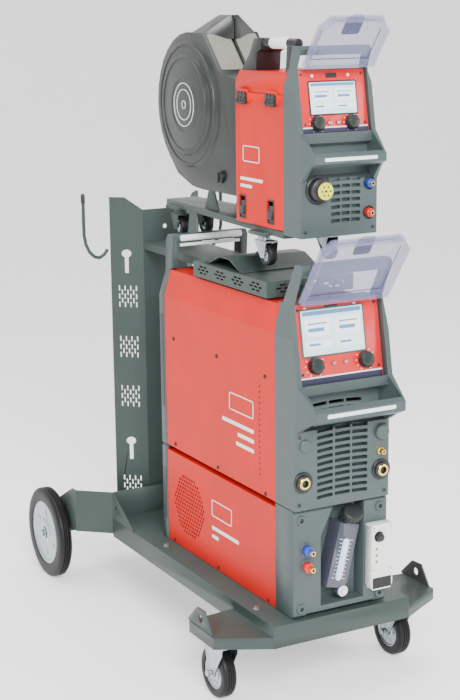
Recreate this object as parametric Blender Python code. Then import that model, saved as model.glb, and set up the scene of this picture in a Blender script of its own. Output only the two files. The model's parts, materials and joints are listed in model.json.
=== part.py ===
"""Mig welder on cart: cooler, power source and swivelling wire feeder on a four-wheel cart.

Metres, +Z up, the front faces -Y and +X is the machine's right as seen from the front.
While the pieces are built, Y = 0 is the front edge of the red side panels. The whole machine
is then moved by CENTRE_Y, so that the origin ends up on the floor under its middle.
"""
import math

import bmesh
import bpy
from mathutils import Matrix, Vector

for old in list(bpy.data.objects):
    bpy.data.objects.remove(old, do_unlink=True)

# ---------------------------------------------------------------- driving dimensions
CENTRE_Y = -0.4551        # moves the middle of the footprint to Y = 0
GAP = 0.0004              # clearance between neighbouring pieces
SHEET = 0.004             # cart sheet steel
SKIN = 0.002              # casing sheet steel

TRAY_HALF = 0.181         # cart tray, half width
TRAY_TOP = 0.209
TRAY_FRONT = -0.0922
TRAY_END = 0.7694
RAIL_LOW = 0.157
OUTRIGGER_TOP = 0.184
OUTRIGGER_X = 0.2986
CASTER_X = 0.240          # swivel axis of the front casters
CASTER_Y = 0.030
CASTER_TRAIL = 0.030
CASTER_R = 0.061
REAR_WHEEL_R = 0.125
REAR_WHEEL_Y = 0.980
REAR_WHEEL_IN = 0.2615
REAR_WHEEL_OUT = 0.2975

MAST_Y = 0.7835           # front face of the mast's centre plate
MAST_TOP = 1.064
MAST_LOW_TOP = 1.0325

BODY_HALF = 0.1225        # casing half width
BODY_END = 0.5456         # rear edge of the casings
COOLER_LOW = 0.2105
COOLER_TOP = 0.4510
POWER_LOW = 0.4640
POWER_BEND = 0.849
POWER_TOP = 0.9125
POWER_TOP_HALF = 0.104

PIVOT_Y = 0.2665          # swivel post of the wire feeder
FEEDER_HALF = 0.0955
FEEDER_FRONT = 0.0052     # front edge of the feeder casing
FEEDER_END = 0.2170
FEEDER_LOW = 1.0713
FEEDER_TOP = 1.4110
BASE_LOW = 1.0555
BASE_TOP = 1.0705
SPOOL_Y = 0.484
SPOOL_Z = 1.3200
SPOOL_R = 0.171
SPOOL_HALF = 0.075
SPOOL_RIDGE = 1.530      # hinge line along the top of the spool case
SMALL_WHEEL_R = 0.0255
SMALL_WHEEL_LOW = 0.983

# ---------------------------------------------------------------- materials
PALETTE = {
    "red_paint": ((0.62, 0.035, 0.025), 0.35, 0.0),
    "cart_grey": ((0.105, 0.135, 0.125), 0.45, 0.0),
    "casting_grey": ((0.15, 0.19, 0.20), 0.5, 0.0),
    "dark_grey": ((0.06, 0.07, 0.07), 0.5, 0.0),
    "rubber": ((0.012, 0.012, 0.013), 0.75, 0.0),
    "zinc": ((0.62, 0.68, 0.70), 0.32, 1.0),
    "black_plastic": ((0.015, 0.016, 0.017), 0.45, 0.0),
    "grey_plastic": ((0.11, 0.13, 0.12), 0.5, 0.0),
    "clear_lid": ((0.55, 0.55, 0.85), 0.1, 0.0),
    "panel_red": ((0.70, 0.02, 0.02), 0.3, 0.0),
    "cream_label": ((0.80, 0.82, 0.74), 0.45, 0.0),
    "brass": ((0.72, 0.55, 0.18), 0.3, 1.0),
    "blue_plastic": ((0.03, 0.05, 0.45), 0.4, 0.0),
    "ring_red": ((0.65, 0.03, 0.03), 0.4, 0.0),
    "machine_steel": ((0.35, 0.36, 0.38), 0.4, 1.0),
}


def material(slot):
    """The Principled material of a palette entry, made once."""
    found = bpy.data.materials.get(slot)
    if found:
        return found
    colour, roughness, metallic = PALETTE[slot]
    made = bpy.data.materials.new(slot)
    made.use_nodes = True
    shader = made.node_tree.nodes["Principled BSDF"]
    shader.inputs["Base Color"].default_value = (*colour, 1.0)
    shader.inputs["Roughness"].default_value = roughness
    shader.inputs["Metallic"].default_value = metallic
    made.diffuse_color = (*colour, 1.0)
    return made


# ---------------------------------------------------------------- modelling helpers
def piece(bm):
    """A scene object from a bmesh, with its faces turned outwards."""
    bmesh.ops.recalc_face_normals(bm, faces=bm.faces)
    mesh = bpy.data.meshes.new("piece")
    bm.to_mesh(mesh)
    bm.free()
    made = bpy.data.objects.new("piece", mesh)
    bpy.context.scene.collection.objects.link(made)
    return made


def spread(axis, a, b, t):
    """The 3-D point with (a, b) across the named axis and t along it."""
    if axis == "x":
        return Vector((t, a, b))
    if axis == "y":
        return Vector((a, t, b))
    return Vector((a, b, t))


def prism(axis, outline, low, high):
    """A flat outline, given across the axis, extruded from low to high."""
    bm = bmesh.new()
    ends = []
    for t in (low, high):
        ends.append([bm.verts.new(spread(axis, a, b, t)) for a, b in outline])
    bm.faces.new(ends[0])
    bm.faces.new(ends[1])
    count = len(outline)
    for i in range(count):
        j = (i + 1) % count
        bm.faces.new((ends[0][i], ends[0][j], ends[1][j], ends[1][i]))
    return piece(bm)


def box(x0, x1, y0, y1, z0, z1):
    """A block between two corners."""
    return prism("z", [(x0, y0), (x1, y0), (x1, y1), (x0, y1)], z0, z1)


def turned(start, end, profile, sides):
    """A solid of revolution about the line from start to end.

    The profile's points are (distance along the line, radius), from one end to the other.
    A radius of zero closes the solid on its axis; without one, the profile is a closed ring.
    """
    start = Vector(start)
    along = (Vector(end) - start).normalized()
    across = along.orthogonal().normalized()
    third = along.cross(across)
    bm = bmesh.new()
    rings = []
    for t, radius in profile:
        if radius == 0.0:
            rings.append([bm.verts.new(start + along * t)])
            continue
        ring = []
        for k in range(sides):
            angle = 2.0 * math.pi * k / sides
            side = across * math.cos(angle) + third * math.sin(angle)
            ring.append(bm.verts.new(start + along * t + side * radius))
        rings.append(ring)
    pairs = list(zip(rings, rings[1:]))
    if profile[0][1] > 0.0:
        pairs.append((rings[-1], rings[0]))
    for one, two in pairs:
        for k in range(sides):
            j = (k + 1) % sides
            corners = [one[k % len(one)], one[j % len(one)], two[j % len(two)], two[k % len(two)]]
            unique = list(dict.fromkeys(corners))
            if len(unique) > 2:
                bm.faces.new(unique)
    return piece(bm)


def rod(start, end, radius, sides=16):
    """A round bar between two points."""
    length = (Vector(end) - Vector(start)).length
    return turned(start, end, [(0.0, 0.0), (0.0, radius), (length, radius), (length, 0.0)], sides)


def swept(points, radius, sides=8):
    """A round bar bent along a line of points."""
    points = [Vector(p) for p in points]
    bm = bmesh.new()
    rings = []
    across = None
    for i, point in enumerate(points):
        before = points[max(i - 1, 0)]
        after = points[min(i + 1, len(points) - 1)]
        along = (after - before).normalized()
        if across is None:
            across = along.orthogonal().normalized()
        across = (across - along * across.dot(along)).normalized()
        third = along.cross(across)
        ring = []
        for k in range(sides):
            angle = 2.0 * math.pi * k / sides
            side = across * math.cos(angle) + third * math.sin(angle)
            ring.append(bm.verts.new(point + side * radius))
        rings.append(ring)
    bm.faces.new(rings[0])
    bm.faces.new(rings[-1])
    for one, two in zip(rings, rings[1:]):
        for k in range(sides):
            j = (k + 1) % sides
            bm.faces.new((one[k], one[j], two[j], two[k]))
    return piece(bm)


def hull(points):
    """The convex solid around a set of points."""
    bm = bmesh.new()
    for point in points:
        bm.verts.new(point)
    bmesh.ops.convex_hull(bm, input=bm.verts)
    bmesh.ops.dissolve_limit(bm, angle_limit=0.0005, verts=bm.verts, edges=bm.edges)
    return piece(bm)


def inset(outline, depth):
    """An outline moved inwards by depth on every side."""
    count = len(outline)
    area = 0.0
    for i in range(count):
        (x0, y0), (x1, y1) = outline[i], outline[(i + 1) % count]
        area += x0 * y1 - x1 * y0
    turn = 1.0 if area > 0.0 else -1.0
    lines = []
    for i in range(count):
        a = Vector(outline[i])
        b = Vector(outline[(i + 1) % count])
        along = (b - a).normalized()
        inward = Vector((-along.y, along.x)) * turn
        lines.append((a + inward * depth, along))
    corners = []
    for i in range(count):
        (p, u), (q, v) = lines[i - 1], lines[i]
        cross = u.x * v.y - u.y * v.x
        s = ((q - p).x * v.y - (q - p).y * v.x) / cross
        corners.append(tuple(p + u * s))
    return corners


def folded(path, thickness):
    """The outline of a sheet folded along a path, with its thickness on the path's left."""
    path = [Vector(p) for p in path]
    offset = []
    for i, point in enumerate(path):
        normals = []
        for j in (i - 1, i):
            if 0 <= j < len(path) - 1:
                along = (path[j + 1] - path[j]).normalized()
                normals.append(Vector((-along.y, along.x)))
        mean = sum(normals, Vector((0.0, 0.0))).normalized()
        offset.append(point + mean * (thickness / mean.dot(normals[0])))
    return [tuple(p) for p in path] + [tuple(p) for p in reversed(offset)]


def combine(target, operands, operation):
    """Exact boolean of the target with each operand in turn; the operands are used up."""
    for operand in operands:
        modifier = target.modifiers.new(operation, "BOOLEAN")
        modifier.operation = operation
        modifier.solver = "EXACT"
        modifier.object = operand
    depsgraph = bpy.context.evaluated_depsgraph_get()
    mesh = bpy.data.meshes.new_from_object(target.evaluated_get(depsgraph))
    target.modifiers.clear()
    target.data = mesh
    for operand in operands:
        bpy.data.objects.remove(operand, do_unlink=True)
    bm = bmesh.new()
    bm.from_mesh(mesh)
    bmesh.ops.remove_doubles(bm, verts=bm.verts, dist=0.00001)
    bmesh.ops.dissolve_limit(bm, angle_limit=0.0005, verts=bm.verts, edges=bm.edges)
    bm.to_mesh(mesh)
    bm.free()
    return target


def joined(first, *others):
    """Union of pieces that touch or cross."""
    return combine(first, others, "UNION")


def cut(first, *others):
    """The first piece with the others cut out of it."""
    return combine(first, others, "DIFFERENCE")


ROOT = bpy.data.objects.new("mig_welder_cart", None)
bpy.context.scene.collection.objects.link(ROOT)


def centre_of(shape):
    """The middle of a piece's box."""
    corners = [Vector(c) for c in shape.bound_box]
    return sum(corners, Vector()) / 8.0


def place(name, shape, slot, origin=None, parent=None):
    """Name a finished piece, give it its material, and put its origin where it turns."""
    mesh = shape.data
    origin = Vector(origin) if origin else centre_of(shape)
    mesh.transform(Matrix.Translation(-origin))
    mesh.name = name
    mesh.materials.clear()
    mesh.materials.append(material(slot))
    mesh.shade_smooth()
    mesh.set_sharp_from_angle(angle=math.radians(35.0))
    shape.name = name
    where = origin + Vector((0.0, CENTRE_Y, 0.0))
    shape.parent = parent or ROOT
    shape.location = where - shape.parent.matrix_world.translation
    bpy.context.view_layer.update()
    return shape


def holder(name, origin, parent=None):
    """An empty on a joint's axis, which the pieces that move together hang from."""
    empty = bpy.data.objects.new(name, None)
    bpy.context.scene.collection.objects.link(empty)
    empty.parent = parent or ROOT
    where = Vector(origin) + Vector((0.0, CENTRE_Y, 0.0))
    empty.location = where - empty.parent.matrix_world.translation
    bpy.context.view_layer.update()
    return empty


# ---------------------------------------------------------------- cart
def build_tray():
    """Folded tray with a swept outrigger and a lifting lug on each side."""
    tray = box(-TRAY_HALF, TRAY_HALF, TRAY_FRONT, TRAY_END, RAIL_LOW, TRAY_TOP)
    tray = cut(tray, box(-TRAY_HALF + SHEET, TRAY_HALF - SHEET, TRAY_FRONT + SHEET,
                         TRAY_END + 0.01, RAIL_LOW - 0.01, TRAY_TOP - SHEET))
    parts = []
    for side in (-1.0, 1.0):
        outline = [(side * 0.1795, TRAY_FRONT), (side * OUTRIGGER_X, -0.0273),
                   (side * OUTRIGGER_X, 0.0915), (side * 0.1795, 0.104)]
        wing = prism("z", outline, RAIL_LOW, OUTRIGGER_TOP)
        wing = cut(wing, prism("z", inset(outline, SHEET), RAIL_LOW - 0.01, OUTRIGGER_TOP - SHEET))
        inner, outer = sorted((side * 0.182, side * 0.2965))
        plate = box(inner, outer, CASTER_Y - 0.042, CASTER_Y + 0.042, RAIL_LOW, RAIL_LOW + SHEET)
        low, high = sorted((side * 0.2966, side * 0.2926))
        lug = prism("x", [(-0.013, 0.1832), (0.100, 0.1832), (0.100, 0.188), (0.056, 0.229),
                          (0.018, 0.231), (-0.013, 0.188)], low, high)
        lug = cut(lug, rod((low - 0.01, 0.039, 0.2065), (high + 0.01, 0.039, 0.2065), 0.0095, 12))
        parts.append(joined(wing, plate, lug))
    return joined(tray, *parts)


def build_rear_frame():
    """Rear crossbeam folded back on both sides to the wheel cheeks, with axle and bottle shelf."""
    low, high = 0.165, 0.280
    bend = (0.259, 0.838)
    path = [(-bend[0], 1.03), (-bend[0], bend[1]), (-TRAY_HALF, 0.7700), (TRAY_HALF, 0.7700),
            bend, (bend[0], 1.03)]
    frame = prism("z", folded(path, SHEET), 0.095, high)
    slope = [(1.04, 0.284), (0.86, 0.284), (0.86, 0.2805), (1.008, 0.200), (1.008, 0.090),
             (1.04, 0.090)]
    under = [(0.76, 0.090), (0.950, 0.090), (0.915, low), (0.76, low)]
    wide = OUTRIGGER_X + 0.01
    frame = cut(frame, prism("x", slope, -wide, wide), prism("x", under, -wide, wide))
    plan = [(-TRAY_HALF, 0.772), (TRAY_HALF, 0.772), (0.257, 0.8385), (0.257, 1.002),
            (-0.257, 1.002), (-0.257, 0.8385)]
    shelf = joined(prism("z", plan, low, low + SHEET), box(-0.257, 0.257, 0.999, 1.002, low, 0.195),
                   box(-0.1100, 0.1100, 0.8650, 0.9850, low + 0.002, low + SHEET + 0.0015))
    axle = rod((-REAR_WHEEL_OUT - 0.006, REAR_WHEEL_Y, REAR_WHEEL_R),
               (REAR_WHEEL_OUT + 0.006, REAR_WHEEL_Y, REAR_WHEEL_R), 0.0095, 16)
    gussets = []
    for side in (-1.0, 1.0):
        inner, outer = sorted((side * (TRAY_HALF - 0.003), side * TRAY_HALF))
        gusset = prism("x", [(0.640, TRAY_TOP + GAP), (0.772, TRAY_TOP + GAP), (0.772, high),
                             (0.762, high), (0.640, TRAY_TOP + 0.004)], inner, outer)
        hole = rod((inner - 0.01, 0.7495, 0.241), (outer + 0.01, 0.7495, 0.241), 0.0055, 10)
        gussets.append(cut(gusset, hole))
    return joined(frame, shelf, axle, *gussets)


WING_OUT = (0.132, 0.844)
WING_IN = (0.064, MAST_Y)


def build_mast():
    """Folded mast: flat centre, wings folded back, keyholes in the wings."""
    path = [(-WING_OUT[0] + 0.004, WING_OUT[1] + 0.011), (-WING_OUT[0], WING_OUT[1]),
            (-WING_IN[0], WING_IN[1]), WING_IN, WING_OUT,
            (WING_OUT[0] - 0.004, WING_OUT[1] + 0.011)]
    mast = prism("z", folded(path, 0.003), 0.1695, MAST_TOP)
    top = [(-0.1042, MAST_TOP + 0.003), (-0.064, MAST_LOW_TOP), (0.064, MAST_LOW_TOP),
           (0.1042, MAST_TOP + 0.003)]
    cutters = [prism("y", top, MAST_Y - 0.01, MAST_Y + 0.10)]
    for side in (-1.0, 1.0):
        for z in (0.915, 0.402):
            x = side * 0.0985
            round_end = rod((x, MAST_Y + 0.005, z), (x, MAST_Y + 0.07, z), 0.0105, 12)
            slot = box(x - 0.0042, x + 0.0042, MAST_Y + 0.005, MAST_Y + 0.07, z - 0.052, z)
            cutters.append(joined(round_end, slot))
    return cut(mast, *cutters)


def build_hook(side):
    """Round-bar cable hook, bent down, out and up again from the mast's edge."""
    line = [(0.1375, 0.925), (0.148, 0.9115), (0.161, 0.9045), (0.175, 0.9075), (0.189, 0.921),
            (0.199, 0.942), (0.2035, 0.966), (0.2040, 1.000), (0.2035, 1.072)]
    return swept([(side * x, 0.8505, z) for x, z in line], 0.0048, 8)


def build_support_tray():
    """Shallow tray over the power source, on a channel arm from the mast."""
    tray = box(-0.114, 0.114, 0.049, 0.4016, 0.9190, 0.9555)
    tray = cut(tray, box(-0.111, 0.111, 0.052, 0.3986, 0.91, 0.9525))
    arm = box(-0.0640, 0.0640, 0.4000, MAST_Y - GAP, 0.928, 0.948)
    arm = cut(arm, box(-0.0610, 0.0610, 0.4030, MAST_Y - 0.004, 0.92, 0.945))
    return joined(tray, arm)


def build_bridge():
    """Hat-section bridge across the support tray, with the feeder's swivel post."""
    hat = [(0.176, 0.9590), (0.192, 0.9590), (0.2425, 0.9805), (0.2905, 0.9805), (0.341, 0.9590),
           (0.357, 0.9590)]
    bridge = prism("x", folded(hat, -0.003), -0.103, 0.103)
    neck = BASE_TOP - 0.004 - GAP
    post = turned((0.0, PIVOT_Y, 0.979), (0.0, PIVOT_Y, 1.1),
                  [(0.0, 0.0), (0.0, 0.016), (0.006, 0.016), (0.006, 0.010), (neck - 0.979, 0.010),
                   (neck - 0.979, 0.006), (BASE_TOP - 0.979, 0.006), (BASE_TOP - 0.979, 0.0)], 16)
    return joined(bridge, post)


def build_wheel(side, inner, outer, y, radius, bore, rim, sides):
    """Wheel with a crowned tyre, a disc dished on its outer side, and a bore."""
    width = outer - inner
    profile = [
        (0.20 * width, radius), (0.80 * width, radius), (width, radius * 0.91), (width, rim),
        (0.80 * width, rim * 0.93), (0.80 * width, bore * 2.2), (width, bore * 2.0), (width, bore),
        (0.0, bore), (0.0, radius * 0.91),
    ]
    return turned((side * inner, y, radius), (side * outer, y, radius), profile, sides)


def build_caster_fork(side):
    """Swivelling fork of a front caster: raceway, crown, two cheeks and the axle bolt."""
    x = side * CASTER_X
    head = turned((x, CASTER_Y, 0.1380), (x, CASTER_Y, 0.2),
                  [(0.0, 0.0), (0.0, 0.024), (0.006, 0.029), (0.0120, 0.029), (0.0186, 0.024),
                   (0.0186, 0.0)], 20)
    crown = box(x - 0.0225, x + 0.0225, 0.004, 0.080, 0.1335, 0.1395)
    hub = CASTER_Y + CASTER_TRAIL
    cheeks = []
    for x0 in (x - 0.0225, x + 0.0195):
        cheeks.append(prism("x", [(0.004, 0.1390), (0.080, 0.1390), (0.084, 0.118), (hub + 0.013, 0.056),
                                  (hub, 0.047), (hub - 0.013, 0.056), (0.006, 0.118)], x0, x0 + 0.003))
    axle = rod((x - 0.0265, hub, CASTER_R), (x + 0.0265, hub, CASTER_R), 0.0058, 12)
    return joined(head, crown, cheeks[0], cheeks[1], axle)


place("base_tray", build_tray(), "cart_grey", (0.0, 0.33, 0.183))
place("rear_frame", build_rear_frame(), "cart_grey", (0.0, 0.90, 0.19))
place("mast", build_mast(), "cart_grey", (0.0, MAST_Y, 0.17))
place("cable_hook_left", build_hook(-1.0), "cart_grey")
place("cable_hook_right", build_hook(1.0), "cart_grey")
place("support_tray", build_support_tray(), "cart_grey")
place("swivel_bridge", build_bridge(), "cart_grey", (0.0, PIVOT_Y, 0.96))

for word, side in (("left", -1.0), ("right", 1.0)):
    wheel = build_wheel(side, REAR_WHEEL_IN, REAR_WHEEL_OUT, REAR_WHEEL_Y, REAR_WHEEL_R, 0.0101, 0.088, 32)
    middle = side * (REAR_WHEEL_IN + REAR_WHEEL_OUT) / 2.0
    place("rear_wheel_" + word, wheel, "rubber", (middle, REAR_WHEEL_Y, REAR_WHEEL_R))
    fork = place("caster_fork_" + word, build_caster_fork(side), "zinc", (side * CASTER_X, CASTER_Y, 0.14))
    hub = CASTER_Y + CASTER_TRAIL
    small = build_wheel(side, CASTER_X - 0.0165, CASTER_X + 0.0165, hub, CASTER_R, 0.0063, 0.041, 24)
    place("caster_wheel_" + word, small, "rubber", (side * CASTER_X, hub, CASTER_R), fork)

# ---------------------------------------------------------------- cooler
def build_cooler_casing():
    """Red cooler casing: a folded tube, open at the front and rear."""
    shell = box(-BODY_HALF, BODY_HALF, GAP, BODY_END, COOLER_LOW, COOLER_TOP)
    hollow = box(-BODY_HALF + SKIN, BODY_HALF - SKIN, -0.01, BODY_END + 0.01,
                 COOLER_LOW + SKIN, COOLER_TOP - SKIN)
    return cut(shell, hollow)


COOLER_FACE = -0.080


def build_cooler_front():
    """Grey front casting of the cooler, with a bay for the tank and a hollow back."""
    half = BODY_HALF + 0.001
    outline = [(-GAP, COOLER_LOW), (COOLER_FACE + 0.006, COOLER_LOW), (COOLER_FACE, COOLER_LOW + 0.006),
               (COOLER_FACE, 0.4560), (COOLER_FACE + 0.006, 0.4620), (-GAP, 0.4620)]
    body = prism("x", outline, -half, half)
    hollow = box(-half + 0.009, half - 0.009, -0.030, 0.01, COOLER_LOW + 0.009, 0.4520)
    bay = prism("y", [(-0.052, 0.2300), (0.062, 0.2300), (0.062, 0.4640), (-0.018, 0.4640),
                      (-0.052, 0.395)], COOLER_FACE - 0.01, -0.040)
    foot = box(-0.090, 0.090, COOLER_FACE - 0.01, COOLER_FACE + 0.012,
               COOLER_LOW - 0.005, COOLER_LOW + 0.007)
    return cut(body, hollow, bay, foot)


def build_cooler_tank():
    """Slanted expansion tank with a sight gauge and a filler neck."""
    lean = math.radians(14.0)
    across = Vector((math.cos(lean), -math.sin(lean)))
    along = Vector((math.sin(lean), math.cos(lean)))
    middle = Vector((0.0000, 0.330))
    corners = []
    for s, t in ((-0.026, -0.064), (0.018, -0.064), (0.026, -0.050), (0.026, 0.086), (-0.026, 0.086)):
        corners.append(tuple(middle + across * s + along * t))
    tank = prism("y", corners, COOLER_FACE - 0.006, -0.0404)
    boss = rod((0.003, COOLER_FACE + 0.02, 0.2560), (0.003, COOLER_FACE - 0.004, 0.2560), 0.0135, 16)
    neck = rod(NECK_START, NECK_START + CAP_AXIS * 0.030, 0.016, 16)
    return joined(tank, boss, neck)


NECK_START = Vector((0.022, -0.062, 0.405))
CAP_AXIS = Vector((0.06, -0.62, 0.78)).normalized()
CAP_START = NECK_START + CAP_AXIS * (0.030 + GAP)


def build_filler_cap():
    """Ribbed screw cap of the filler neck."""
    cap = turned(CAP_START, CAP_START + CAP_AXIS,
                 [(0.0, 0.0), (0.0, 0.0215), (0.003, 0.0235), (0.017, 0.0235), (0.020, 0.0205),
                  (0.020, 0.0)], 20)
    return cap


def build_coupling(x, y, z, radius, reach):
    """Quick coupling: collar with a stepped nose and a bore."""
    return turned((x, y, z), (x, y - 1.0, z),
                  [(0.0, radius), (reach * 0.55, radius), (reach * 0.60, radius * 0.62),
                   (reach, radius * 0.58), (reach, radius * 0.30), (0.0, radius * 0.30)], 16)


def build_cooler_panel():
    """Cream control plate standing proud of the cooler front."""
    plate = prism("y", [(0.0665, 0.262), (0.0665, 0.402), (0.0695, 0.405), (0.1235, 0.405),
                        (0.1235, 0.262), (0.1185, 0.250), (0.0715, 0.250)], -0.106, COOLER_FACE - GAP)
    return plate


def build_cooler_core():
    """Radiator, pump and hoses' manifold on one base plate."""
    floor = COOLER_LOW + SKIN + 0.0006
    plate = box(-0.105, 0.105, 0.060, 0.500, floor, floor + 0.0050)
    low = COOLER_LOW + SKIN + 0.004
    radiator = box(-0.100, 0.100, 0.455, 0.495, low, 0.435)
    for k in range(5):
        z = 0.250 + 0.037 * k
        radiator = cut(radiator, box(-0.085, 0.085, 0.445, 0.505, z, z + 0.016))
    motor = rod((0.030, 0.150, 0.290), (0.030, 0.330, 0.290), 0.048, 20)
    foot = box(0.000, 0.060, 0.170, 0.310, low, 0.260)
    head = rod((0.030, 0.110, 0.290), (0.030, 0.152, 0.290), 0.034, 16)
    tank = box(-0.095, -0.035, 0.090, 0.400, low, 0.400)
    return joined(plate, radiator, motor, foot, head, tank)


def build_rear_grille(low, high, top_half, bend, bar_count):
    """Rear casting: a frame with cross bars over the air outlet."""
    half = BODY_HALF + 0.001
    start = BODY_END + GAP
    outline = [(-half, low), (half, low), (half, bend), (top_half, high), (-top_half, high),
               (-half, bend)]
    body = prism("y", outline, start, start + 0.026)
    hollow = prism("y", inset(outline, 0.010), start - 0.01, start + 0.018)
    cutters = [hollow]
    span = (bend - low - 0.070) / bar_count
    for k in range(bar_count):
        z = low + 0.035 + span * k
        cutters.append(box(-0.075, 0.075, start, start + 0.04, z, z + span * 0.55))
    return cut(body, *cutters)


place("cooler_casing", build_cooler_casing(), "red_paint")
place("cooler_front", build_cooler_front(), "casting_grey")
place("cooler_rear", build_rear_grille(COOLER_LOW, 0.4620, 0.1175, 0.455, 9), "casting_grey")
place("cooler_tank", build_cooler_tank(), "casting_grey")
place("cooler_filler_cap", build_filler_cap(), "black_plastic", CAP_START)
for word, z, slot in (("blue", 0.3695, "blue_plastic"), ("red", 0.3305, "ring_red")):
    place("cooler_coupling_" + word, build_coupling(-0.0905, COOLER_FACE - GAP, z, 0.0115, 0.026), slot)
place("cooler_panel", build_cooler_panel(), "cream_label")
SWITCH = (0.086, -0.106 - GAP, 0.377)
switch = turned(SWITCH, (SWITCH[0], SWITCH[1] - 1.0, SWITCH[2]),
                [(0.0, 0.0), (0.0, 0.0095), (0.010, 0.0085), (0.012, 0.0070), (0.012, 0.0)], 16)
place("cooler_switch", switch, "black_plastic", SWITCH)
place("cooler_core", build_cooler_core(), "machine_steel")

# ---------------------------------------------------------------- fronts with a tilted panel
class Front:
    """Side geometry shared by the front castings of the power source and of the feeder.

    Distances run in the plane Y-Z: the panel goes from its foot up to its head along `up`,
    and `out` points away from it to the front.
    """

    def __init__(self, half, wall, back, face, low, foot, head, rim, grip, loop, nape, loop_scale):
        self.half = half          # outside half width
        self.wall = wall          # cheek thickness
        self.back = back          # Y of the rear face
        self.face = face          # Y of the lower front face
        self.low = low            # Z of the underside
        self.foot = Vector(foot)  # panel's lower edge
        self.head = Vector(head)  # panel's upper edge
        self.rim = rim            # how far the cheeks stand proud of the panel
        self.grip = Vector(grip)  # centre of the front handle bar
        self.loop = Vector(loop)  # top front corner of the upper carrying loop
        self.nape = nape          # Z at which the cheeks' rear edge leaves the casing
        self.loop_scale = loop_scale
        self.up = (self.head - self.foot).normalized()
        self.out = Vector((-self.up.y, self.up.x))
        self.length = (self.head - self.foot).length

    def at(self, along, out):
        """The (Y, Z) of a point `along` the panel from its foot and `out` from it."""
        return tuple(self.foot + self.up * along + self.out * out)

    def point(self, x, along, out):
        """The 3-D point at x, `along` the panel and `out` from it."""
        y, z = self.at(along, out)
        return Vector((x, y, z))


def build_front(f, bar):
    """Front casting: lower box, cheeks, a chin, a front handle and an upper carrying loop."""
    gy, gz = f.grip
    ly, lz = f.loop
    chin = f.at(0.0, f.rim)
    brow = f.at(f.length, f.rim)
    cheek = [(f.back, f.low), (f.face, f.low), (f.face, gz - 0.052), (gy + bar * 0.4, gz - bar * 0.9),
             (gy - bar * 0.6, gz - bar * 0.55), (gy - bar * 0.6, gz + bar * 0.35), (gy, gz + bar * 0.8),
             chin, brow, (ly, lz - 0.010), (ly + 0.007, lz), (ly + 0.030, lz),
             (f.back, f.nape), (f.back, f.low + 0.2)]
    parts = []
    for x0 in (-f.half, f.half - f.wall):
        parts.append(prism("x", cheek, x0, x0 + f.wall))
    deep = f.half - f.wall + 0.001
    core = [(f.back, f.low), (f.face, f.low), (f.face, gz - 0.050), (f.face + 0.026, gz - 0.040),
            (f.face + 0.026, chin[1] - 0.030), (chin[0], chin[1] - 0.022), chin, f.at(0.0, 0.0),
            f.at(f.length, 0.0), (f.back, f.head.y)]
    parts.append(prism("x", core, -deep, deep))
    parts.append(prism("x", [(gy - bar * 0.6, gz - bar * 0.55), (gy - bar * 0.6, gz + bar * 0.35),
                             (gy - bar * 0.2, gz + bar * 0.7), (gy + bar * 0.6, gz + bar * 0.35),
                             (gy + bar * 0.5, gz - bar * 0.7), (gy + bar * 0.1, gz - bar * 0.9)],
                       -deep, deep))
    section = [(0.000, -0.010), (0.007, 0.0), (0.030, 0.0), (0.040, -0.011), (0.026, -0.024),
               (0.012, -0.026)]
    section = [(ly + y * f.loop_scale, lz + z * f.loop_scale) for y, z in section]
    parts.append(prism("x", section, -deep, deep))
    body = joined(parts[0], *parts[1:])
    inner = f.half - 0.022
    hollow = [(f.back + 0.01, f.low + 0.012), (f.face + 0.034, f.low + 0.012),
              (f.face + 0.034, chin[1] - 0.028), f.at(0.010, -0.012), f.at(f.length - 0.012, -0.012),
              (f.back + 0.01, f.head.y - 0.012)]
    return cut(body, prism("x", hollow, -inner, inner))


def draw_in(body, f, at_grip, at_top, bend, top):
    """Move the outer flanks inwards towards the handle bar and above the casing's shoulder."""
    start = min(f.face, f.at(0.0, f.rim)[0])
    reach = start - (f.grip.x - 0.012)
    bm = bmesh.new()
    bm.from_mesh(body.data)
    for spot, normal in (((0.0, start, 0.0), (0.0, 1.0, 0.0)), ((0.0, 0.0, bend), (0.0, 0.0, 1.0)),
                         ((0.0, 0.0, top), (0.0, 0.0, 1.0))):
        everything = bm.verts[:] + bm.edges[:] + bm.faces[:]
        bmesh.ops.bisect_plane(bm, geom=everything, plane_co=spot, plane_no=normal)
    for vert in bm.verts:
        x, y, z = vert.co
        if abs(x) < f.half - 0.0001:
            continue
        shift = 0.0
        if z > bend:
            shift = at_top * min((z - bend) / (top - bend), 1.0)
        elif y < start:
            shift = at_grip * (start - y) / reach
        vert.co.x = math.copysign(f.half - shift, x)
    bmesh.ops.dissolve_limit(bm, angle_limit=0.0005, verts=bm.verts, edges=bm.edges)
    bm.to_mesh(body.data)
    bm.free()
    return body


def build_panel(f, half):
    """Control panel plate lying on the casting's tilted bed."""
    outline = [f.at(0.002, GAP), f.at(f.length - 0.002, GAP), f.at(f.length - 0.002, 0.0035),
               f.at(0.002, 0.0035)]
    return prism("x", outline, -half, half)


PANEL_SKIN = 0.0035


def build_knob(f, x, along, radius, height):
    """Encoder knob with a waist and a chamfered top."""
    start = f.point(x, along, PANEL_SKIN + GAP)
    end = f.point(x, along, 1.0)
    profile = [(0.0, 0.0), (0.0, radius), (0.004, radius), (0.006, radius * 0.93),
               (height - 0.002, radius * 0.88), (height, radius * 0.78), (height, 0.0)]
    return turned(start, end, profile, 20), start


def build_button(f, x, along):
    """Small round push button."""
    start = f.point(x, along, PANEL_SKIN + 0.0018)
    end = f.point(x, along, 1.0)
    profile = [(0.0, 0.0), (0.0, 0.0048), (0.0022, 0.0048), (0.0030, 0.0036), (0.0030, 0.0)]
    return turned(start, end, profile, 12), start


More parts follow.
